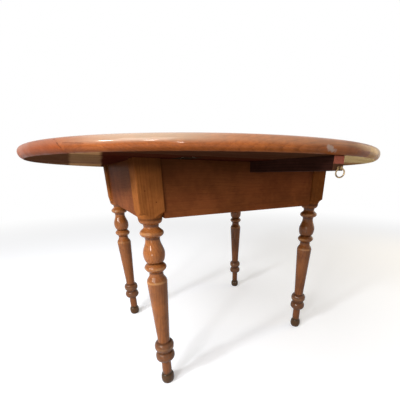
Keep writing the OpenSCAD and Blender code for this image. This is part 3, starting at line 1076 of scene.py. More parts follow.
def new_object(bm: bmesh.types.BMesh, name: str) -> bpy.types.Object:
    """Turns a bmesh into an object at the origin, smooth but for its sharp edges.

    Args:
        bm: The mesh, which is freed.
        name: Name of the object.

    Returns:
        The linked object.
    """
    mesh = bpy.data.meshes.new(name)
    bm.to_mesh(mesh)
    bm.free()
    piece = bpy.data.objects.new(name, mesh)
    bpy.context.scene.collection.objects.link(piece)
    smooth(piece)
    return piece


def smooth(piece: bpy.types.Object, angle: float = SMOOTH_ANGLE) -> None:
    """Shades a piece smooth, with edges over an angle kept sharp."""
    piece.data.shade_smooth()
    piece.data.set_sharp_from_angle(angle=angle)


def combine(piece: bpy.types.Object, tool: bpy.types.Object, how: Cut) -> None:
    """Cuts or joins a piece with a tool, and removes the tool.

    Args:
        piece: The piece, whose mesh is replaced.
        tool: The solid that it is combined with.
        how: The way that they are combined.
    """
    modifier = piece.modifiers.new("combine", "BOOLEAN")
    modifier.operation = how.value
    modifier.solver = "EXACT"
    modifier.object = tool
    graph = bpy.context.evaluated_depsgraph_get()
    made = bpy.data.meshes.new_from_object(piece.evaluated_get(graph))
    made.name = piece.name
    piece.modifiers.clear()
    piece.data = made
    bpy.data.objects.remove(tool)
    smooth(piece)


def ease(bm: bmesh.types.BMesh, edges: Sequence[bmesh.types.BMEdge], arris: float, steps: int) -> None:
    """Rounds edges.

    Args:
        bm: The mesh.
        edges: The edges that are rounded.
        arris: Radius of the rounding.
        steps: Number of its facets.
    """
    bmesh.ops.bevel(bm, geom=edges, offset=arris, offset_type="OFFSET", segments=steps, profile=0.5,
                    affect="EDGES", material=-1)


def block(name: str, low: Sequence[float], high: Sequence[float], arris: float = 0.0) -> bpy.types.Object:
    """A box between two corners, with its edges eased.

    Args:
        name: Name of the object.
        low: Its lowest corner.
        high: Its highest corner.
        arris: Radius of the eased edges.

    Returns:
        The box.
    """
    low, high = Vector(low), Vector(high)
    bm = bmesh.new()
    bmesh.ops.create_cube(bm, size=1.0)
    bmesh.ops.scale(bm, vec=high - low, verts=bm.verts)
    bmesh.ops.translate(bm, vec=(low + high) / 2, verts=bm.verts)
    if arris:
        ease(bm, bm.edges[:], arris, ARRIS_STEPS)
    return new_object(bm, name)


def rod(name: str, start: Sequence[float], axis: Vector, length: float, radius: float) -> bpy.types.Object:
    """A cylinder from a point along an axis.

    Args:
        name: Name of the object.
        start: Middle of its first end.
        axis: Direction of its length, one long.
        length: Its length.
        radius: Its radius.

    Returns:
        The cylinder.
    """
    bm = bmesh.new()
    bmesh.ops.create_cone(bm, cap_ends=True, segments=ROD_SIDES, radius1=radius, radius2=radius,
                          depth=length)
    turn = axis.to_track_quat("Z", "Y").to_matrix().to_4x4()
    bm.transform(Matrix.Translation(Vector(start) + axis * length / 2) @ turn)
    return new_object(bm, name)


def spun(bm: bmesh.types.BMesh, axis: Place, steps: int) -> bmesh.types.BMesh:
    """Turns all that a bmesh holds once round an axis through the origin.

    Args:
        bm: The bmesh, which holds an outline.
        axis: Direction of the axis.
        steps: Number of facets round it.

    Returns:
        The same bmesh, with its doubles merged.
    """
    bmesh.ops.spin(bm, geom=bm.verts[:] + bm.edges[:], cent=ORIGIN, axis=axis, dvec=ORIGIN,
                   angle=math.tau, steps=steps, use_merge=True)
    bmesh.ops.remove_doubles(bm, verts=bm.verts, dist=MERGE)
    return bm


def lathe(outline: Iterable[Point], steps: int) -> bmesh.types.BMesh:
    """Turns an outline round Z.

    Args:
        outline: Radius and height of each point, from the bottom up.
        steps: Number of facets round the axis.

    Returns:
        The turned bmesh.
    """
    bm = bmesh.new()
    points = [bm.verts.new((radius, 0.0, height)) for radius, height in outline]
    for first, second in zip(points, points[1:]):
        bm.edges.new((first, second))
    return spun(bm, (0.0, 0.0, 1.0), steps)


def arc(centre: Point, radius: float, start: float, end: float, steps: int) -> list[Point]:
    """Points on a circle.

    Args:
        centre: Its centre.
        radius: Its radius.
        start: Angle of the first point, in degrees.
        end: Angle of the last point, in degrees.
        steps: Number of stretches between the points.

    Returns:
        The points.
    """
    angles = [math.radians(start + (end - start) * i / steps) for i in range(steps + 1)]
    return [(centre[0] + radius * math.cos(a), centre[1] + radius * math.sin(a)) for a in angles]


def dress(piece: bpy.types.Object, material: bpy.types.Material) -> bpy.types.Object:
    """Gives a piece one material.

    Args:
        piece: The piece.
        material: Its material.

    Returns:
        The piece.
    """
    piece.data.materials.clear()
    piece.data.materials.append(material)
    return piece


def dress_node(name: str, material: bpy.types.Material) -> bpy.types.Object:
    """Gives a construction node that keeps its own mesh a material.

    Args:
        name: Name of the node.
        material: Its material.

    Returns:
        The node's object.
    """
    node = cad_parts[name]
    if not node.data.materials:
        node.data.materials.append(material)
    for place_for in node.material_slots:
        place_for.material = material
    LOG.info("dressed %s", name)
    return node


def place(piece: bpy.types.Object, body: str, *nodes: str) -> bpy.types.Object:
    """Lets a piece ride on a body in place of construction nodes, and reports it.

    Args:
        piece: The piece.
        body: Name of the body.
        *nodes: The nodes that it stands for.

    Returns:
        The piece.
    """
    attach(piece, body)
    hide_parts(*nodes)
    LOG.info("made %s on %s: %d faces", piece.name, body, len(piece.data.polygons))
    return piece


@dataclass
class Board:
    """One board of the top, between two lines along X."""

    node: str
    body: str
    side: Side
    inner: float
    outer: float
    hinge_edge: HingeEdge
    pith: Point
    tones: Tones
    bare: tuple[str, str] = ("#a98a62", "#86684a")


@dataclass
class TableTop:
    """The round top: a centre section of three boards and two leaves of two boards each.

    Nose is the round edge, cove the hollow of the rule joint and step the drop of its
    shoulder below the top face. A reach is measured across the table from the hinge line.
    """

    rim_steps: int = 288
    nose_steps: int = 24
    curve_steps: int = 28
    shoulder_steps: int = 4
    crease: float = 0.0004
    step: float = 0.0045
    gap: float = 0.0005
    crack: float = 0.0008
    seam_arris: float = 0.0002
    joint_arris: float = 0.0008
    over: float = 0.005
    hinge_w: float = 0.050
    short_reach: float = 0.040
    long_reach: float = 0.070
    plate_t: float = 0.002
    plate_back: float = 0.0055
    plate_room: float = 0.0002
    knuckle_room: float = 0.001
    lift_room: float = 0.0008
    groove_r: float = 0.0075
    pith_below: float = 0.055
    pith_above: float = 0.045
    # Where the rim's painted sheen and painted shade start, in from the edge, and their heights about its
    # middle.
    sheen_and_shade_from: float = 0.010
    sheen_span: Point = (-0.004, 0.006)
    shade_span: Point = (-0.003, -0.0125)
    bare_edge: float = 0.0004
    # Painted shadows on the bare underside: one under the left end, and one that slants beside the frame's
    # left side.
    painted_shadows: tuple[PaintedShadow, ...] = (PaintedShadow(-0.62, -0.4687, share=0.70), PaintedShadow(-0.3831, 0.03, 0.0989, 0.955))
    scars_and_light_patches: tuple[ScarAndLightPatch, ...] = (
        # A pale grey patch on the near rim, above the loper.
        ScarAndLightPatch((-0.0420, -0.5825, 0.7230), (-0.0200, -0.5836, 0.7160), 0.0070, "#aaa29c", 0.6),
        # Dark cracks at the left end of the rim.
        ScarAndLightPatch((-0.4905, -0.3172, 0.7345), (-0.4800, -0.3327, 0.7160), 0.0016, "#45210f", 0.6),
        ScarAndLightPatch((-0.4780, -0.3355, 0.7290), (-0.4470, -0.3760, 0.7255), 0.0014, "#5a2c16", 0.4),
        # Painted shade on the near rim, right of the loper.
        ScarAndLightPatch((0.0550, -0.5814, 0.7250), (0.1050, -0.5745, 0.7250), 0.0600, "#48200f", 0.34),
        # Painted yellowish highlight on the near rim, further right.
        ScarAndLightPatch((0.1450, -0.5657, 0.7250), (0.3000, -0.5010, 0.7250), 0.0300, "#ad8a48", 0.62),
    )

    def __post_init__(self) -> None:
        """Reads the sizes of the top from the frame."""
        low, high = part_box("centre_board_middle")
        self.radius, self.under, self.top = high.x, low.z, high.z
        self.near_seam, self.far_seam = low.y, high.y
        self.leaf_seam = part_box("far_leaf_outer_board")[0].y
        pins_low, pins_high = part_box("hinge_pins")
        self.pin_z = (pins_low.z + pins_high.z) / 2
        self.hinge_y = pins_high.y - (pins_high.z - pins_low.z) / 2
        self.hinge_x = pins_high.x - self.hinge_w / 2
        self.cove = self.top - self.step - self.pin_z

    def boards(self) -> list[Board]:
        """Lists the boards, each with its place, the middle of its tree and its tones.

        Returns:
            The boards, from the near edge of the centre section on.
        """
        past = self.radius + CUT_OVER
        deep, high = self.under - self.pith_below, self.top + self.pith_above
        return [
            Board("centre_board_near", "frame", Side.NEAR, -self.near_seam, self.hinge_y,
                  HingeEdge.TONGUE, (-0.215, deep),
                  ("#a55d29", "#80451b", "#8b481f"), ("#8d6f50", "#6c5039")),
            Board("centre_board_middle", "frame", Side.FAR, self.near_seam, self.far_seam,
                  HingeEdge.NONE, (0.010, high),
                  ("#a25b28", "#7b411b", "#88451e"), ("#92745a", "#6f543f")),
            Board("centre_board_far", "frame", Side.FAR, self.far_seam, self.hinge_y,
                  HingeEdge.TONGUE, (0.190, deep - 0.020),
                  ("#a7612c", "#82481d", "#8f4a21"), ("#b9946c", "#96714f")),
            Board("near_leaf_inner_board", "near_leaf", Side.NEAR, self.hinge_y, self.leaf_seam,
                  HingeEdge.COVE, (-0.350, deep - 0.010),
                  ("#a9632d", "#84491e", "#924c21"), ("#b88f66", "#92704f")),
            Board("near_leaf_outer_board", "near_leaf", Side.NEAR, self.leaf_seam, past,
                  HingeEdge.NONE, (-0.470, high + 0.005),
                  ("#a55f2a", "#80461b", "#8d491f"), ("#e6d09f", "#c8ae7b")),
            Board("far_leaf_inner_board", "far_leaf", Side.FAR, self.hinge_y, self.leaf_seam,
                  HingeEdge.COVE, (0.360, deep), ("#a45d29", "#7e441b", "#8a471f")),
            Board("far_leaf_outer_board", "far_leaf", Side.FAR, self.leaf_seam, past,
                  HingeEdge.NONE, (0.500, deep + 0.010), ("#a8622c", "#83491d", "#904b20")),
        ]

    def build(self) -> None:
        """Makes and dresses every board."""
        middle = (self.under + self.top) / 2
        # Heights of the painted sheen and the painted shade on the rim.
        pale, dark = ((middle + first, middle + last) for first, last in (self.sheen_span, self.shade_span))
        edge = RimSheenAndShade(self.radius - self.sheen_and_shade_from, pale, dark)
        for board in self.boards():
            piece = self._disc(board.node + "_top")
            combine(piece, self._plank(board), Cut.KEEP_COMMON)
            for tool in self._hinge_room(board):
                combine(piece, tool, Cut.TAKE_AWAY)
            bare = BareFace(self.under + self.bare_edge, *board.bare, self.painted_shadows)
            finish = WoodFinish(board.node, Grain.ALONG_X, board.pith, board.tones, rim_sheen_and_shade=edge,
                                bare_face=bare, scars_and_light_patches=self.scars_and_light_patches)
            dress(piece, finish.build())
            place(piece, board.body, board.node)

    def _disc(self, name: str) -> bpy.types.Object:
        """The whole disc of the top, with its round edge.

        Args:
            name: Name of the object.

        Returns:
            The disc.
        """
        half = (self.top - self.under) / 2
        nose = half + self.crease
        slope = math.degrees(math.asin(half / nose))
        middle = (self.radius - nose, self.under + half)
        bm = lathe(arc(middle, nose, -slope, slope, self.nose_steps), self.rim_steps)
        bmesh.ops.holes_fill(bm, edges=[e for e in bm.edges if e.is_boundary], sides=0)
        bmesh.ops.recalc_face_normals(bm, faces=bm.faces)
        return new_object(bm, name)

    def _plank(self, board: Board) -> bpy.types.Object:
        """A long plank with the cross-section of one board.

        Args:
            board: The board.

        Returns:
            The plank.
        """
        reach = self.radius + 2 * CUT_OVER
        bm = bmesh.new()
        ring = [bm.verts.new((-reach, board.side.value * y, z)) for y, z in self._section(board)]
        grown = bmesh.ops.extrude_face_region(bm, geom=[bm.faces.new(ring)])
        moved = [v for v in grown["geom"] if isinstance(v, bmesh.types.BMVert)]
        bmesh.ops.translate(bm, vec=(2 * reach, 0.0, 0.0), verts=moved)
        bmesh.ops.recalc_face_normals(bm, faces=bm.faces)
        return new_object(bm, "plank")

    def _section(self, board: Board) -> list[Point]:
        """Outline of a board across the grain, past both faces of the disc that it is cut from.

        Args:
            board: The board.

        Returns:
            Y and Z of each point, as drawn on the far side.
        """
        pin = (self.hinge_y, self.pin_z)
        low = self.under - self.over
        inner = [(board.inner, low)]
        inner_back = self._seam(board.inner, -1)
        outer = [(board.outer, low), *reversed(self._seam(board.outer, 1))]
        if board.hinge_edge is HingeEdge.TONGUE:
            start = -math.degrees(math.asin((self.pin_z - low) / self.cove))
            outer = arc(pin, self.cove, start, 90.0, self.curve_steps) + self._shoulder(self.hinge_y, -1)
        if board.hinge_edge is HingeEdge.COVE:
            hollow = self.cove + self.gap
            end = math.degrees(math.acos(self.crack / hollow))
            inner = [(self.hinge_y + hollow, low)]
            side = arc(pin, hollow, 0.0, end, self.curve_steps)
            inner_back = (side + self._shoulder(self.hinge_y + self.crack, 1))[::-1]
        return inner + outer + inner_back

    def _seam(self, y: float, outwards: int) -> list[Point]:
        """The faintly eased edge at a glued seam, from above the top face down.

        Args:
            y: Where the seam is.
            outwards: Sign of the direction away from the board.

        Returns:
            Its points.
        """
        return [
            (y - outwards * (self.seam_arris + self.over), self.top + self.over),
            (y, self.top - self.seam_arris),
        ]

    def _shoulder(self, y: float, towards: int) -> list[Point]:
        """The rounded edge of a board at the top of the rule joint, from its side up.

        Args:
            y: Where the board's side is.
            towards: Sign of the direction into the board.

        Returns:
            Its points.
        """
        centre = (y + towards * self.joint_arris, self.top - self.joint_arris)
        curve = arc(centre, self.joint_arris, 90.0 * (1 + towards), 90.0, self.shoulder_steps)
        return [*curve, (centre[0], self.top + self.over)]

    def _hinge_room(self, board: Board) -> list[bpy.types.Object]:
        """Solids that clear a board for the plates and knuckles of its two hinges.

        Args:
            board: The board.

        Returns:
            The solids.
        """
        tools: list[bpy.types.Object] = []
        if board.hinge_edge is HingeEdge.NONE:
            return tools
        sign = board.side.value
        plate = self.hinge_w / 2 + self.plate_room
        knuckle = self.hinge_w / 2 + self.knuckle_room
        deep = self.under + self.plate_t
        for x in (-self.hinge_x, self.hinge_x):
            if board.hinge_edge is HingeEdge.COVE:
                spans = [(plate, 0.0, self.long_reach + self.plate_room, deep)]
            else:
                spans = [
                    (plate, -self.short_reach - self.plate_room, -self.plate_back, deep),
                    (knuckle, 0.0, self.cove + self.knuckle_room, deep + self.lift_room),
                ]
                start = (x - knuckle, sign * self.hinge_y, self.pin_z)
                tools.append(rod("groove", start, Vector((1.0, 0.0, 0.0)), 2 * knuckle, self.groove_r))
            for wide, first, last, top in spans:
                ends = sorted(sign * (self.hinge_y + reach) for reach in (first, last))
                low = (x - wide, ends[0], self.under - CUT_OVER)
                tools.append(block("recess", low, (x + wide, ends[1], top)))
        return tools


@dataclass
class TurnedLeg:
    """A leg with a square post at its head and a turned shaft, from the foot up, in metres."""

    foot_h: float = 0.036
    foot_r: float = 0.02175
    sole: float = 0.7
    ankle_r: float = 0.01575
    ankle_h: float = 0.058
    ring_r: float = 0.03075
    ring_h: float = 0.034
    groove_h: float = 0.006
    groove_r: float = 0.0215
    neck_r: float = 0.020
    neck_h: float = 0.008
    taper_r: float = 0.0195
    taper_foot_h: float = 0.017
    shoulder_r: float = 0.0295
    shoulder_h: float = 0.022
    low_collar_r: float = 0.03075
    low_collar_h: float = 0.029
    high_collar_r: float = 0.03225
    high_collar_h: float = 0.027
    collar_edge_h: float = 0.00135
    vase_r: float = 0.03025
    vase_h: float = 0.067
    belly: float = 0.4
    round_end_h: float = 0.014
    edge_h: float = 0.003
    quirk: float = 0.0015
    small_step: float = 0.0005
    corner_out: float = 0.016
    corner_up: float = 0.0192
    post: float = 0.064
    arris: float = 0.0012
    arris_steps: int = 3
    over: float = 0.005
    trim: float = 1.6
    tenon_t: float = 0.028
    peg_r: float = 0.0041
    peg_l: float = 0.0562
    peg_over: float = 0.001
    peg_heights: Point = (0.0365, 0.1022)
    peg_step: float = 0.020
    pith_off: Point = (0.045, 0.03)
    # Painted shade at the head of the post: darker between these heights above the rails' lower edge.
    shaded: Point = (0.104, 0.137)
    curve_steps: int = 12
    sides: int = 96
    # The right legs have darker tones than the left ones: painted shade.
    ends: tuple[tuple[str, int, Tones], ...] = (
        ("left", -1, ("#9c6232", "#754523", "#824c28")),
        ("right", 1, ("#845028", "#643b1c", "#6e401f")),
    )

    def __post_init__(self) -> None:
        """Reads the place and height of the legs from the frame."""
        leg_low, leg_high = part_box("leg_far_right")
        rail_low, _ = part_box("long_rail_far")
        self.axis_x = (leg_low.x + leg_high.x) / 2
        self.axis_y = (leg_low.y + leg_high.y) / 2
        self.inner_x, self.inner_y = self.axis_x - self.post / 2, self.axis_y - self.post / 2
        self.post_z, self.head_z = rail_low.z, leg_high.z
        self.low_ring_z = self.foot_h + self.ankle_h
        self.high_ring_z = self.low_ring_z + self.ring_h + self.groove_h
        self.taper_z = self.high_ring_z + self.ring_h
        self.high_neck_z = self.post_z - self.round_end_h - self.neck_h
        self.high_collar_z = self.high_neck_z - self.high_collar_h
        self.vase_z = self.high_collar_z - self.neck_h - self.vase_h
        self.low_collar_z = self.vase_z - self.low_collar_h
        self.shoulder_z = self.low_collar_z - self.neck_h - self.shoulder_h

    def wear(self) -> TurningWear:
        """Says where the turning is deep enough for dirt, where its ridges are lightened by wear and a
        painted highlight, and where it is dusty.

        Returns:
            The wear of the leg.
        """
        grooves = (
            self.foot_h, self.low_ring_z, self.high_ring_z - self.groove_h / 2, self.taper_z,
            self.low_collar_z, self.vase_z, self.high_collar_z - self.neck_h / 2,
            self.high_neck_z + self.neck_h / 2, self.post_z,
        )
        ridges = (
            self.shoulder_z + self.edge_h / 2, self.low_collar_z + self.low_collar_h / 2,
            self.high_collar_z + self.belly * self.high_collar_h + self.collar_edge_h / 2,
            self.high_ring_z + self.ring_h / 2,
        )
        return TurningWear(grooves, ridges, (self.low_ring_z, self.taper_z))

    def build(self) -> None:
        """Makes and dresses the four legs."""
        pattern = self._pattern()
        wear = self.wear()
        shaded = (self.post_z + self.shaded[0], self.post_z + self.shaded[1])
        for side in Side:
            for end, sign, tones in self.ends:
                node = f"leg_{side.word}_{end}"
                piece = self._mirrored(pattern, node + "_turned", sign, side.value)
                pith = (sign * self.axis_x + self.pith_off[0], side.value * self.axis_y + self.pith_off[1])
                finish = WoodFinish(node, Grain.ALONG_Z, pith, tones, ring_width=0.005, varnish=0.9,
                                    varnish_roughness=0.12, varnish_ior=1.32, specular=0.0,
                                    dull_above=self.post_z, painted_shade_above=shaded, turning=wear)
                dress(piece, finish.build())
                place(piece, "frame", node)
        bpy.data.objects.remove(pattern)

    def _pattern(self) -> bpy.types.Object:
        """The leg at the far right corner, with holes for its pegs.

        Returns:
            The leg.
        """
        bm = lathe(self._outline(), self.sides)
        bmesh.ops.recalc_face_normals(bm, faces=bm.faces)
        bmesh.ops.translate(bm, vec=(self.axis_x, self.axis_y, 0.0), verts=bm.verts)
        leg = new_object(bm, "leg_pattern")
        combine(leg, self._envelope(), Cut.KEEP_COMMON)
        for tool in self._peg_holes():
            combine(leg, tool, Cut.TAKE_AWAY)
        return leg

    def _envelope(self) -> bpy.types.Object:
        """A square post above and a wider block below, which trims the lathe's solid.

        Returns:
            The solid.
        """
        step_z = self.post_z - self.quirk
        bm = bmesh.new()
        bmesh.ops.create_grid(bm, x_segments=1, y_segments=1, size=self.post / 2)
        bmesh.ops.translate(bm, vec=(self.axis_x, self.axis_y, self.head_z), verts=bm.verts)
        middle = Matrix.Translation((-self.axis_x, -self.axis_y, 0.0))
        for height, wide in ((step_z, 1.0), (step_z, self.trim), (-CUT_OVER, 1.0)):
            lowest = min(v.co.z for v in bm.verts)
            rim = [f for f in bm.faces if all(abs(v.co.z - lowest) < MERGE for v in f.verts)]
            grown = bmesh.ops.extrude_face_region(bm, geom=rim)
            moved = [v for v in grown["geom"] if isinstance(v, bmesh.types.BMVert)]
            if lowest < self.head_z:
                bmesh.ops.delete(bm, geom=rim, context="FACES_ONLY")
            bmesh.ops.translate(bm, vec=(0.0, 0.0, height - lowest), verts=moved)
            bmesh.ops.scale(bm, vec=(wide, wide, 1.0), verts=moved, space=middle)
        bmesh.ops.recalc_face_normals(bm, faces=bm.faces)
        upright = [e for e in bm.edges if {v.co.z > step_z + MERGE for v in e.verts} == {True, False}]
        ease(bm, upright, self.arris, self.arris_steps)
        return new_object(bm, "envelope")

    def _peg_holes(self) -> list[bpy.types.Object]:
        """Rods where the pegs of the two rails go into the post.

        Returns:
            The rods, by pairs: along Y into the long rail's tenon and along X into the short one's.
        """
        tools = []
        for height in self.peg_heights:
            z = self.post_z + height
            for start, axis in (
                ((self.inner_x + self.tenon_t / 2, self.inner_y - self.peg_over, z), (0.0, 1.0, 0.0)),
                ((self.inner_x - self.peg_over, self.inner_y + self.tenon_t / 2, z + self.peg_step),
                 (1.0, 0.0, 0.0)),
            ):
                tools.append(rod("hole", start, Vector(axis), self.peg_l, self.peg_r))
        return tools

    @staticmethod
    def _mirrored(pattern: bpy.types.Object, name: str, sx: int, sy: int) -> bpy.types.Object:
        """A copy of the pattern at another corner.

        Args:
            pattern: The leg at the far right corner.
            name: Name of the copy.
            sx: Sign of the corner's X.
            sy: Sign of its Y.

        Returns:
            The copy.
        """
        bm = bmesh.new()
        bm.from_mesh(pattern.data)
        bm.transform(Matrix.Diagonal((sx, sy, 1.0, 1.0)))
        if sx * sy < 0:
            bmesh.ops.reverse_faces(bm, faces=bm.faces)
        return new_object(bm, name)

    def _curve(self, z: float, height: float, start: float, end: float, curve: Curve) -> list[Point]:
        """A stretch of the turning, from one radius to another.

        Args:
            z: Height of its lower end.
            height: Its own height.
            start: Radius at its lower end.
            end: Radius that it reaches.
            curve: Its shape.

        Returns:
            Its points, from the bottom up.
        """
        points = []
        for i in range(self.curve_steps + 1):
            part = i / self.curve_steps
            quarter, half = math.radians(90.0 * part), math.radians(180.0 * part)
            out, up = {
                Curve.SWELL: (math.sin(quarter), 1 - math.cos(quarter)),
                Curve.CLOSE: (1 - math.cos(quarter), math.sin(quarter)),
                Curve.OGEE: ((1 - math.cos(half)) / 2, part),
                Curve.LENS: (math.sin(half), part),
            }[curve]
            points.append((start + (end - start) * out, z + height * up))
        return points

    def _bead(self, z: float, height: float, base: float, radius: float, top: float) -> list[Point]:
        """A round ring of the turning.

        Args:
            z: Height of its lower end.
            height: Its own height.
            base: Radius below it.
            radius: Its radius.
            top: Radius above it.

        Returns:
            Its points, from the bottom up.
        """
        half = height / 2
        lower = self._curve(z, half, base, radius, Curve.SWELL)
        return lower + self._curve(z + half, half, radius, top, Curve.CLOSE)

    def _outline(self) -> list[Point]:
        """The whole outline of the leg, from the floor to past the head of the post.

        Returns:
            Radius and height of each point.
        """
        low = self.post / 2 - self.small_step
        belly_h = self.belly * self.vase_h
        flare_h = self.belly * self.high_collar_h
        edge_z = self.high_collar_z + flare_h + self.collar_edge_h
        top = self.head_z + self.over
        return [
            (0.0, 0.0),
            *self._bead(0.0, self.foot_h, self.sole * self.foot_r, self.foot_r, self.ankle_r),
            *self._bead(self.low_ring_z, self.ring_h, self.ankle_r, self.ring_r, self.groove_r),
            *self._bead(self.high_ring_z, self.ring_h, self.groove_r, self.ring_r, self.taper_r),
            (self.taper_r, self.taper_z + self.taper_foot_h),
            (self.shoulder_r, self.shoulder_z),
            *self._curve(self.shoulder_z + self.edge_h, self.shoulder_h - self.edge_h,
                         self.shoulder_r - 2 * self.small_step, self.neck_r, Curve.OGEE),
            *self._curve(self.low_collar_z, self.low_collar_h, self.neck_r, self.low_collar_r, Curve.LENS),
            *self._curve(self.vase_z, belly_h, self.neck_r, self.vase_r, Curve.SWELL),
            *self._curve(self.vase_z + belly_h, self.vase_h - belly_h, self.vase_r, self.neck_r,
                         Curve.OGEE)[1:],
            *self._curve(self.high_collar_z, flare_h, self.neck_r + self.quirk, self.high_collar_r,
                         Curve.SWELL),
            *self._curve(edge_z, self.high_neck_z - edge_z, self.high_collar_r - self.small_step,
                         self.neck_r, Curve.OGEE),
            *self._curve(self.high_neck_z + self.neck_h, self.round_end_h, self.neck_r + self.quirk, low,
                         Curve.SWELL),
            *self._curve(self.post_z, self.corner_up, low, low + self.corner_out, Curve.CLOSE)[1:],
            (self.post, self.post_z + self.corner_up + 10 * MERGE),
            (self.post, top),
            (0.0, top),
        ]


@dataclass
class Rails:
    """The four rails of the frame, between the posts."""

    arris: float = 0.0012
    pith_in: float = 0.06
    pith_up: Point = (0.06, 0.05)
    short_pith: float = 0.8
    # Darker than the tones of the legs and the top: painted shade on rails that sit under the top.
    tones: Tones = ("#8c5530", "#6b3d21", "#763e24")
    # Painted shade under the top, darker between these heights.
    shaded: Point = (0.62, 0.72)

    def build(self) -> None:
        """Makes and dresses the rails."""
        leg = TurnedLeg()
        for side in Side:
            node = f"long_rail_{side.word}"
            low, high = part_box(node)
            corners = (-leg.inner_x, low.y, low.z), (leg.inner_x, high.y, high.z)
            rail = block(node + "_planed", *corners, self.arris)
            combine(rail, self._slot(side), Cut.TAKE_AWAY)
            pith = ((low.y + high.y) / 2 - side.value * self.pith_in, low.z + self.pith_up[0])
            self._finish(rail, node, Grain.ALONG_X, pith)
        for end in ("left", "right"):
            node = f"short_rail_{end}"
            low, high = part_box(node)
            corners = (low.x, -leg.inner_y, low.z), (high.x, leg.inner_y, high.z)
            rail = block(node + "_planed", *corners, self.arris)
            pith = ((low.x + high.x) / 2 * self.short_pith, low.z + self.pith_up[1])
            self._finish(rail, node, Grain.ALONG_Y, pith)

    def _finish(self, rail: bpy.types.Object, node: str, grain: Grain, pith: Point) -> None:
        """Dresses a rail with less varnish than the top has, and with painted shade under the top.

        Args:
            rail: The rail.
            node: Its construction node.
            grain: Direction of its fibres.
            pith: Middle of its tree.
        """
        finish = WoodFinish(node, grain, pith, self.tones, ring_width=0.007, ring_contrast=0.22,
                            streaks=0.07, varnish=0.08, varnish_roughness=0.25, varnish_ior=1.2,
                            roughness=0.45, specular=0.0, painted_shade_above=self.shaded)
        dress(rail, finish.build())
        place(rail, "frame", node)

    @staticmethod
    def _slot(side: Side) -> bpy.types.Object:
        """The block that cuts the slot of a rail, as wide as the gap between two guides.

        Args:
            side: The rail's side of the table.

        Returns:
            The block.
        """
        first, second = ("left", "middle") if side is Side.NEAR else ("middle", "right")
        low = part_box(f"loper_guide_{first}")[1]
        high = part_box(f"loper_guide_{second}")[0]
        rail_low, rail_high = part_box(f"long_rail_{side.word}")
        start = (low.x, rail_low.y - CUT_OVER, high.z)
        return block("slot", start, (high.x, rail_high.y + CUT_OVER, rail_high.z + CUT_OVER))


@dataclass
class LoperRun:
    """The lopers, the guides beside them and the keepers under them."""

    arris: float = 0.0006
    loper_arris: float = 0.001
    guide_pith: Point = (-0.05, -0.03)
    loper_pith: Point = (0.03, -0.035)
    keeper_pith: Point = (0.21, 0.61)
    plain_tones: Tones = ("#b38c62", "#8a6542", "#96704c")
    loper_tones: Tones = ("#37201a", "#21120f", "#291612")
    peg_tones: Tones = ("#8f5a35", "#6c3f24", "#7a4628")

    def build(self) -> None:
        """Makes and dresses the pieces that carry the leaves."""
        for name in ("left", "middle", "right"):
            node = f"loper_guide_{name}"
            low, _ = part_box(node)
            self._batten(node, Grain.ALONG_Y, (low.x + self.guide_pith[0], low.z + self.guide_pith[1]))
        for side in Side:
            pith = (side.value * self.keeper_pith[0], self.keeper_pith[1])
            self._batten(f"keeper_{side.word}", Grain.ALONG_X, pith)
            self._loper(side)
            peg = WoodFinish(f"{side.word}_stop_peg", Grain.ALONG_Z, (0.0, 0.0), self.peg_tones,
                             varnish=0.2, roughness=0.55)
            dress_node(peg.name, peg.build())

    def _batten(self, node: str, grain: Grain, pith: Point) -> None:
        """Makes one straight piece of plain wood where its node is.

        Args:
            node: The node.
            grain: Direction of its fibres.
            pith: Middle of its tree.
        """
        piece = block(node + "_planed", *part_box(node), self.arris)
        finish = WoodFinish(node, grain, pith, self.plain_tones, varnish=0.0, roughness=0.75, specular=0.2)
        dress(piece, finish.build())
        place(piece, "frame", node)

    def _loper(self, side: Side) -> None:
        """Makes one loper, stained dark but for its sawn end.

        Args:
            side: Its side of the table.
        """
        node = f"{side.word}_loper"
        low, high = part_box(node)
        pith = ((low.x + high.x) / 2 + self.loper_pith[0], low.z + self.loper_pith[1])
        end = SawnEnd(low.y if side is Side.NEAR else high.y, (low.z + high.z) / 2)
        piece = block(node + "_planed", low, high, self.loper_arris)
        finish = WoodFinish(node, Grain.ALONG_Y, pith, self.loper_tones, varnish=0.0, roughness=0.6,
                            specular=0.02, sawn_end=end)
        dress(piece, finish.build())
        place(piece, f"{side.word}_support", node)


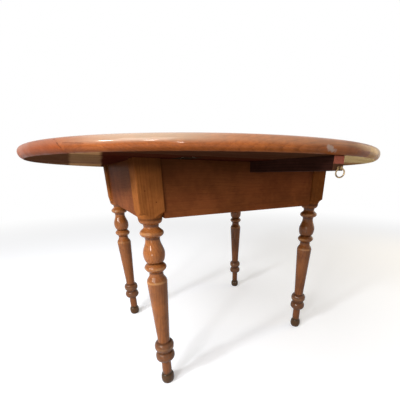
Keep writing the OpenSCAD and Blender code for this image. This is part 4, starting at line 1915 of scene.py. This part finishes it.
@dataclass
class RingPulls:
    """A ring pull on the end of each loper: a turned plate with an eye, and a ring."""

    ring_steps: int = 96
    wire_steps: int = 28
    eye_steps: int = 48
    section_steps: int = 32
    plate_steps: int = 64
    turn_deg: float = 30.0
    wire_r: float = 0.0015
    plate_r: float = 0.0045
    plate_t: float = 0.0015
    plate_edge: float = 0.0003
    bead_t: float = 0.0011
    bead_w: float = 0.0012
    bead_edge: Point = (0.0005, 0.0004)
    quirk_t: float = 0.0009
    dome_t: float = 0.0014
    dome_in: float = 0.0002
    eye_r: float = 0.0046
    eye_hole_r: float = 0.0021
    eye_w: float = 0.005
    eye_reach: float = 0.006
    eye_sink: float = 0.0004
    neck_r: float = 0.0011
    fillet: float = 0.0006
    spike_r: float = 0.002
    spike_l: float = 0.022
    tip_l: float = 0.004
    tip: float = 0.2
    wire_smooth: float = math.radians(40.0)
    cast_smooth: float = math.radians(35.0)

    def build(self) -> None:
        """Makes and dresses both pulls."""
        brass = MetalFinish("aged_brass", "#a98f66", "#3c2a1c", roughness=0.24, tarnish_share=0.85).build()
        for side in Side:
            ring = self._ring(side)
            dress(ring, brass)
            place(ring, f"{side.word}_pull", f"{side.word}_ring")
            eye = self._eye(side)
            dress(eye, brass)
            place(eye, f"{side.word}_support", f"{side.word}_pull_eye")

    def _ring(self, side: Side) -> bpy.types.Object:
        """The ring, which hangs from the eye.

        Args:
            side: Its side of the table.

        Returns:
            The ring.
        """
        low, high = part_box(f"{side.word}_ring")
        bm = bmesh.new()
        bmesh.ops.create_circle(bm, segments=self.wire_steps, radius=self.wire_r)
        bmesh.ops.rotate(bm, cent=ORIGIN, matrix=Matrix.Rotation(math.pi / 2, 3, "X"), verts=bm.verts)
        bmesh.ops.translate(bm, vec=((high.z - low.z) / 2 - self.wire_r, 0.0, 0.0), verts=bm.verts)
        spun(bm, (0.0, 0.0, 1.0), self.ring_steps)
        upright = Matrix.Rotation(math.pi / 2, 4, "X")
        bm.transform(Matrix.Translation((low + high) / 2) @ self._turn(side) @ upright)
        bmesh.ops.recalc_face_normals(bm, faces=bm.faces)
        piece = new_object(bm, f"{side.word}_ring_wire")
        smooth(piece, self.wire_smooth)
        return piece

    def _turn(self, side: Side) -> Matrix:
        """The turn of a ring and its eye about the upright."""
        return Matrix.Rotation(side.value * math.radians(self.turn_deg), 4, "Z")

    def _plate(self) -> list[Point]:
        """Outline of the plate with its spike behind and its neck in front.

        Returns:
            Radius and height of each point, from the spike's tip on, with the wood's face at 0.
        """
        bead = self.plate_r - self.plate_edge
        neck_end = self.eye_reach - self.eye_hole_r - self.eye_sink
        return [
            (0.0, -self.spike_l),
            (self.spike_r * self.tip, -self.spike_l),
            (self.spike_r, -self.spike_l + self.tip_l),
            (self.spike_r, 0.0),
            (bead, 0.0),
            (self.plate_r, self.plate_edge),
            (self.plate_r, self.bead_t - self.bead_edge[1]),
            (self.plate_r - self.bead_edge[0], self.bead_t),
            (self.plate_r - self.bead_w, self.quirk_t),
            (self.plate_r - self.bead_w - self.dome_in, self.dome_t),
            (self.neck_r + self.fillet, self.plate_t),
            (self.neck_r, self.plate_t + self.fillet),
            (self.neck_r, neck_end),
            (0.0, neck_end),
        ]

    def _eye(self, side: Side) -> bpy.types.Object:
        """The domed plate, its neck, the eye with its hole and the spike, as one casting.

        Args:
            side: Its side of the table.

        Returns:
            The casting.
        """
        low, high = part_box(f"{side.word}_loper")
        eye_low, eye_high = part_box(f"{side.word}_pull_eye")
        face = low.y if side is Side.NEAR else high.y
        centre = Vector(((low.x + high.x) / 2, face, (eye_low.z + eye_high.z) / 2))
        bm = lathe(self._plate(), self.plate_steps)
        bmesh.ops.recalc_face_normals(bm, faces=bm.faces)
        outwards = Matrix.Rotation(-side.value * math.pi / 2, 4, "X")
        bm.transform(Matrix.Translation(centre) @ outwards)
        piece = new_object(bm, f"{side.word}_pull_eye_cast")
        middle = centre + Vector((0.0, side.value * self.eye_reach, 0.0))
        combine(piece, self._loop(middle, self._turn(side)), Cut.JOIN)
        smooth(piece, self.cast_smooth)
        return piece

    def _loop(self, middle: Vector, turn: Matrix) -> bpy.types.Object:
        """The eye: a thick round loop whose hole is along X before its turn.

        Args:
            middle: Its middle.
            turn: Its turn.

        Returns:
            The loop.
        """
        thick = (self.eye_r - self.eye_hole_r) / 2
        bm = bmesh.new()
        bmesh.ops.create_circle(bm, segments=self.section_steps, radius=1.0)
        bmesh.ops.scale(bm, vec=(self.eye_w / 2, thick, 1.0), verts=bm.verts)
        bmesh.ops.translate(bm, vec=(0.0, self.eye_hole_r + thick, 0.0), verts=bm.verts)
        spun(bm, (1.0, 0.0, 0.0), self.eye_steps)
        bmesh.ops.recalc_face_normals(bm, faces=bm.faces)
        bm.transform(Matrix.Translation(middle) @ turn)
        return new_object(bm, "loop")


@dataclass
class Ironwork:
    """Hinges, screws, pegs and blocks, which keep the meshes of the construction."""

    plate_nodes: tuple[str, ...] = ("hinge_short_plates", "hinge_pins", "near_leaf_hinge_plates",
                                    "far_leaf_hinge_plates")
    screw_nodes: tuple[str, ...] = ("near_leaf_screws", "far_leaf_screws", "short_plate_screws",
                                    "block_screws", "keeper_screws")
    wood_nodes: tuple[str, ...] = ("top_blocks", "tenon_pegs")
    wood_tones: Tones = ("#b68f64", "#8c6743", "#98714c")

    def build(self) -> None:
        """Dresses the hinges, screws, pegs and blocks."""
        plate = MetalFinish("dull_iron", "#33241b", "#1f130c", roughness=0.7, tarnish_share=0.85,
                            patches_per_metre=130.0, metallic=0.04, specular=0.0).build()
        screw = MetalFinish("worn_screw", "#6e675e", "#3a2f27", roughness=0.45, tarnish_share=0.7,
                            patches_per_metre=300.0).build()
        bare = WoodFinish("bare_blocks", Grain.ALONG_X, (0.0, 0.60), self.wood_tones, varnish=0.0,
                          roughness=0.78, specular=0.2).build()
        for nodes, material, slot in ((self.plate_nodes, plate, "steel"),
                                      (self.screw_nodes, screw, "steel"),
                                      (self.wood_nodes, bare, "inner_wood")):
            for node in nodes:
                dress_node(node, material)


@dataclass
class Lamp:
    """One soft square lamp of the studio. Its size is in metres and its power in watts."""

    name: str
    spot: Place
    aim: Place
    size: float
    power: float
    tone: str

    def build(self) -> None:
        """Adds the lamp, pointing at its aim."""
        data = bpy.data.lights.new(self.name, "AREA")
        data.shape = "SQUARE"
        data.size = self.size
        data.energy = self.power
        data.color = colour(self.tone)[:3]
        light = bpy.data.objects.new(self.name, data)
        light.location = self.spot
        towards = Vector(self.aim) - Vector(self.spot)
        light.rotation_euler = towards.to_track_quat("-Z", "Y").to_euler()
        bpy.context.scene.collection.objects.link(light)


@dataclass
class Studio:
    """Pale floor, soft lamps, white surroundings and the camera at the photograph's angle."""

    floor_r: float = 40.0
    floor_sides: int = 128
    world_tone: str = "#fff6ec"
    world_light: float = 0.40
    camera_spot: Place = (-0.4800, -0.9127, 0.6718)
    camera_tilt_deg: float = 69.0449
    camera_turn_deg: float = -31.6646
    lens: float = 21.430
    sensor: float = 36.0
    shift: Point = (-0.0636, 0.1669)
    lamps: tuple[Lamp, ...] = (
        Lamp("key_softbox", (-2.02, -1.17, 1.92), (0.0, 0.0, 0.6), 1.2, 39.5, "#fff6ee"),
        Lamp("left_window", (-2.45, -0.55, 1.55), (0.0, 0.0, 0.6), 0.29, 34.0, "#fffaf4"),
        Lamp("corner_window", (-2.00, -1.45, 1.35), (0.0, 0.0, 0.6), 0.22, 11.0, "#fffaf4"),
        Lamp("front_lamp", (-1.78, -2.10, 0.42), (0.0, 0.0, 0.7), 0.11, 7.5, "#fff6ee"),
        Lamp("top_softbox", (-0.6, 0.6, 3.2), (0.0, 0.0, 0.7), 2.8, 25.0, "#fff8f2"),
        Lamp("right_fill", (2.6, -0.7, 1.3), (0.3, 0.0, 0.6), 1.4, 12.5, "#ffdc9a"),
    )

    def build(self) -> None:
        """Makes the floor, the lamps, the world and the camera."""
        self._floor()
        for lamp in self.lamps:
            lamp.build()
        self._world()
        self._camera()

    def _floor(self) -> None:
        """A large round floor at the height on which the feet stand."""
        bm = bmesh.new()
        bmesh.ops.create_circle(bm, cap_ends=True, segments=self.floor_sides, radius=self.floor_r)
        floor = new_object(bm, "floor")
        floor.data.materials.append(FloorFinish().build())

    def _world(self) -> None:
        """White where it is seen or mirrored, and softer where it lights the table."""
        graph = Graph(bpy.data.worlds.new("studio_world"))
        soft = graph.shader("ShaderNodeBackground", Color=colour(self.world_tone), Strength=self.world_light)
        white = graph.shader("ShaderNodeBackground", Color=(1.0, 1.0, 1.0, 1.0), Strength=1.0)
        surface = graph.either(graph.seen(), soft, white)
        bpy.context.scene.world = graph.close(surface, "ShaderNodeOutputWorld")

    def _camera(self) -> None:
        """The camera where the photograph was taken from."""
        data = bpy.data.cameras.new("camera")
        data.sensor_width = self.sensor
        data.lens = self.lens
        data.shift_x, data.shift_y = self.shift
        data.dof.use_dof = False
        camera = bpy.data.objects.new("camera", data)
        camera.location = self.camera_spot
        camera.rotation_euler = (math.radians(self.camera_tilt_deg), 0.0, math.radians(self.camera_turn_deg))
        bpy.context.scene.collection.objects.link(camera)
        bpy.context.scene.camera = camera
        bpy.context.scene.view_settings.view_transform = "Standard"


def main() -> None:
    """Builds the table's sub-assemblies and the studio round it."""
    logging.basicConfig(level=logging.INFO, format="%(message)s")
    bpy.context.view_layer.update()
    for assembly in (TableTop(), TurnedLeg(), Rails(), LoperRun(), RingPulls(), Ironwork(), Studio()):
        assembly.build()
        LOG.info("finished %s", type(assembly).__name__)


if __name__ == "__main__":
    main()
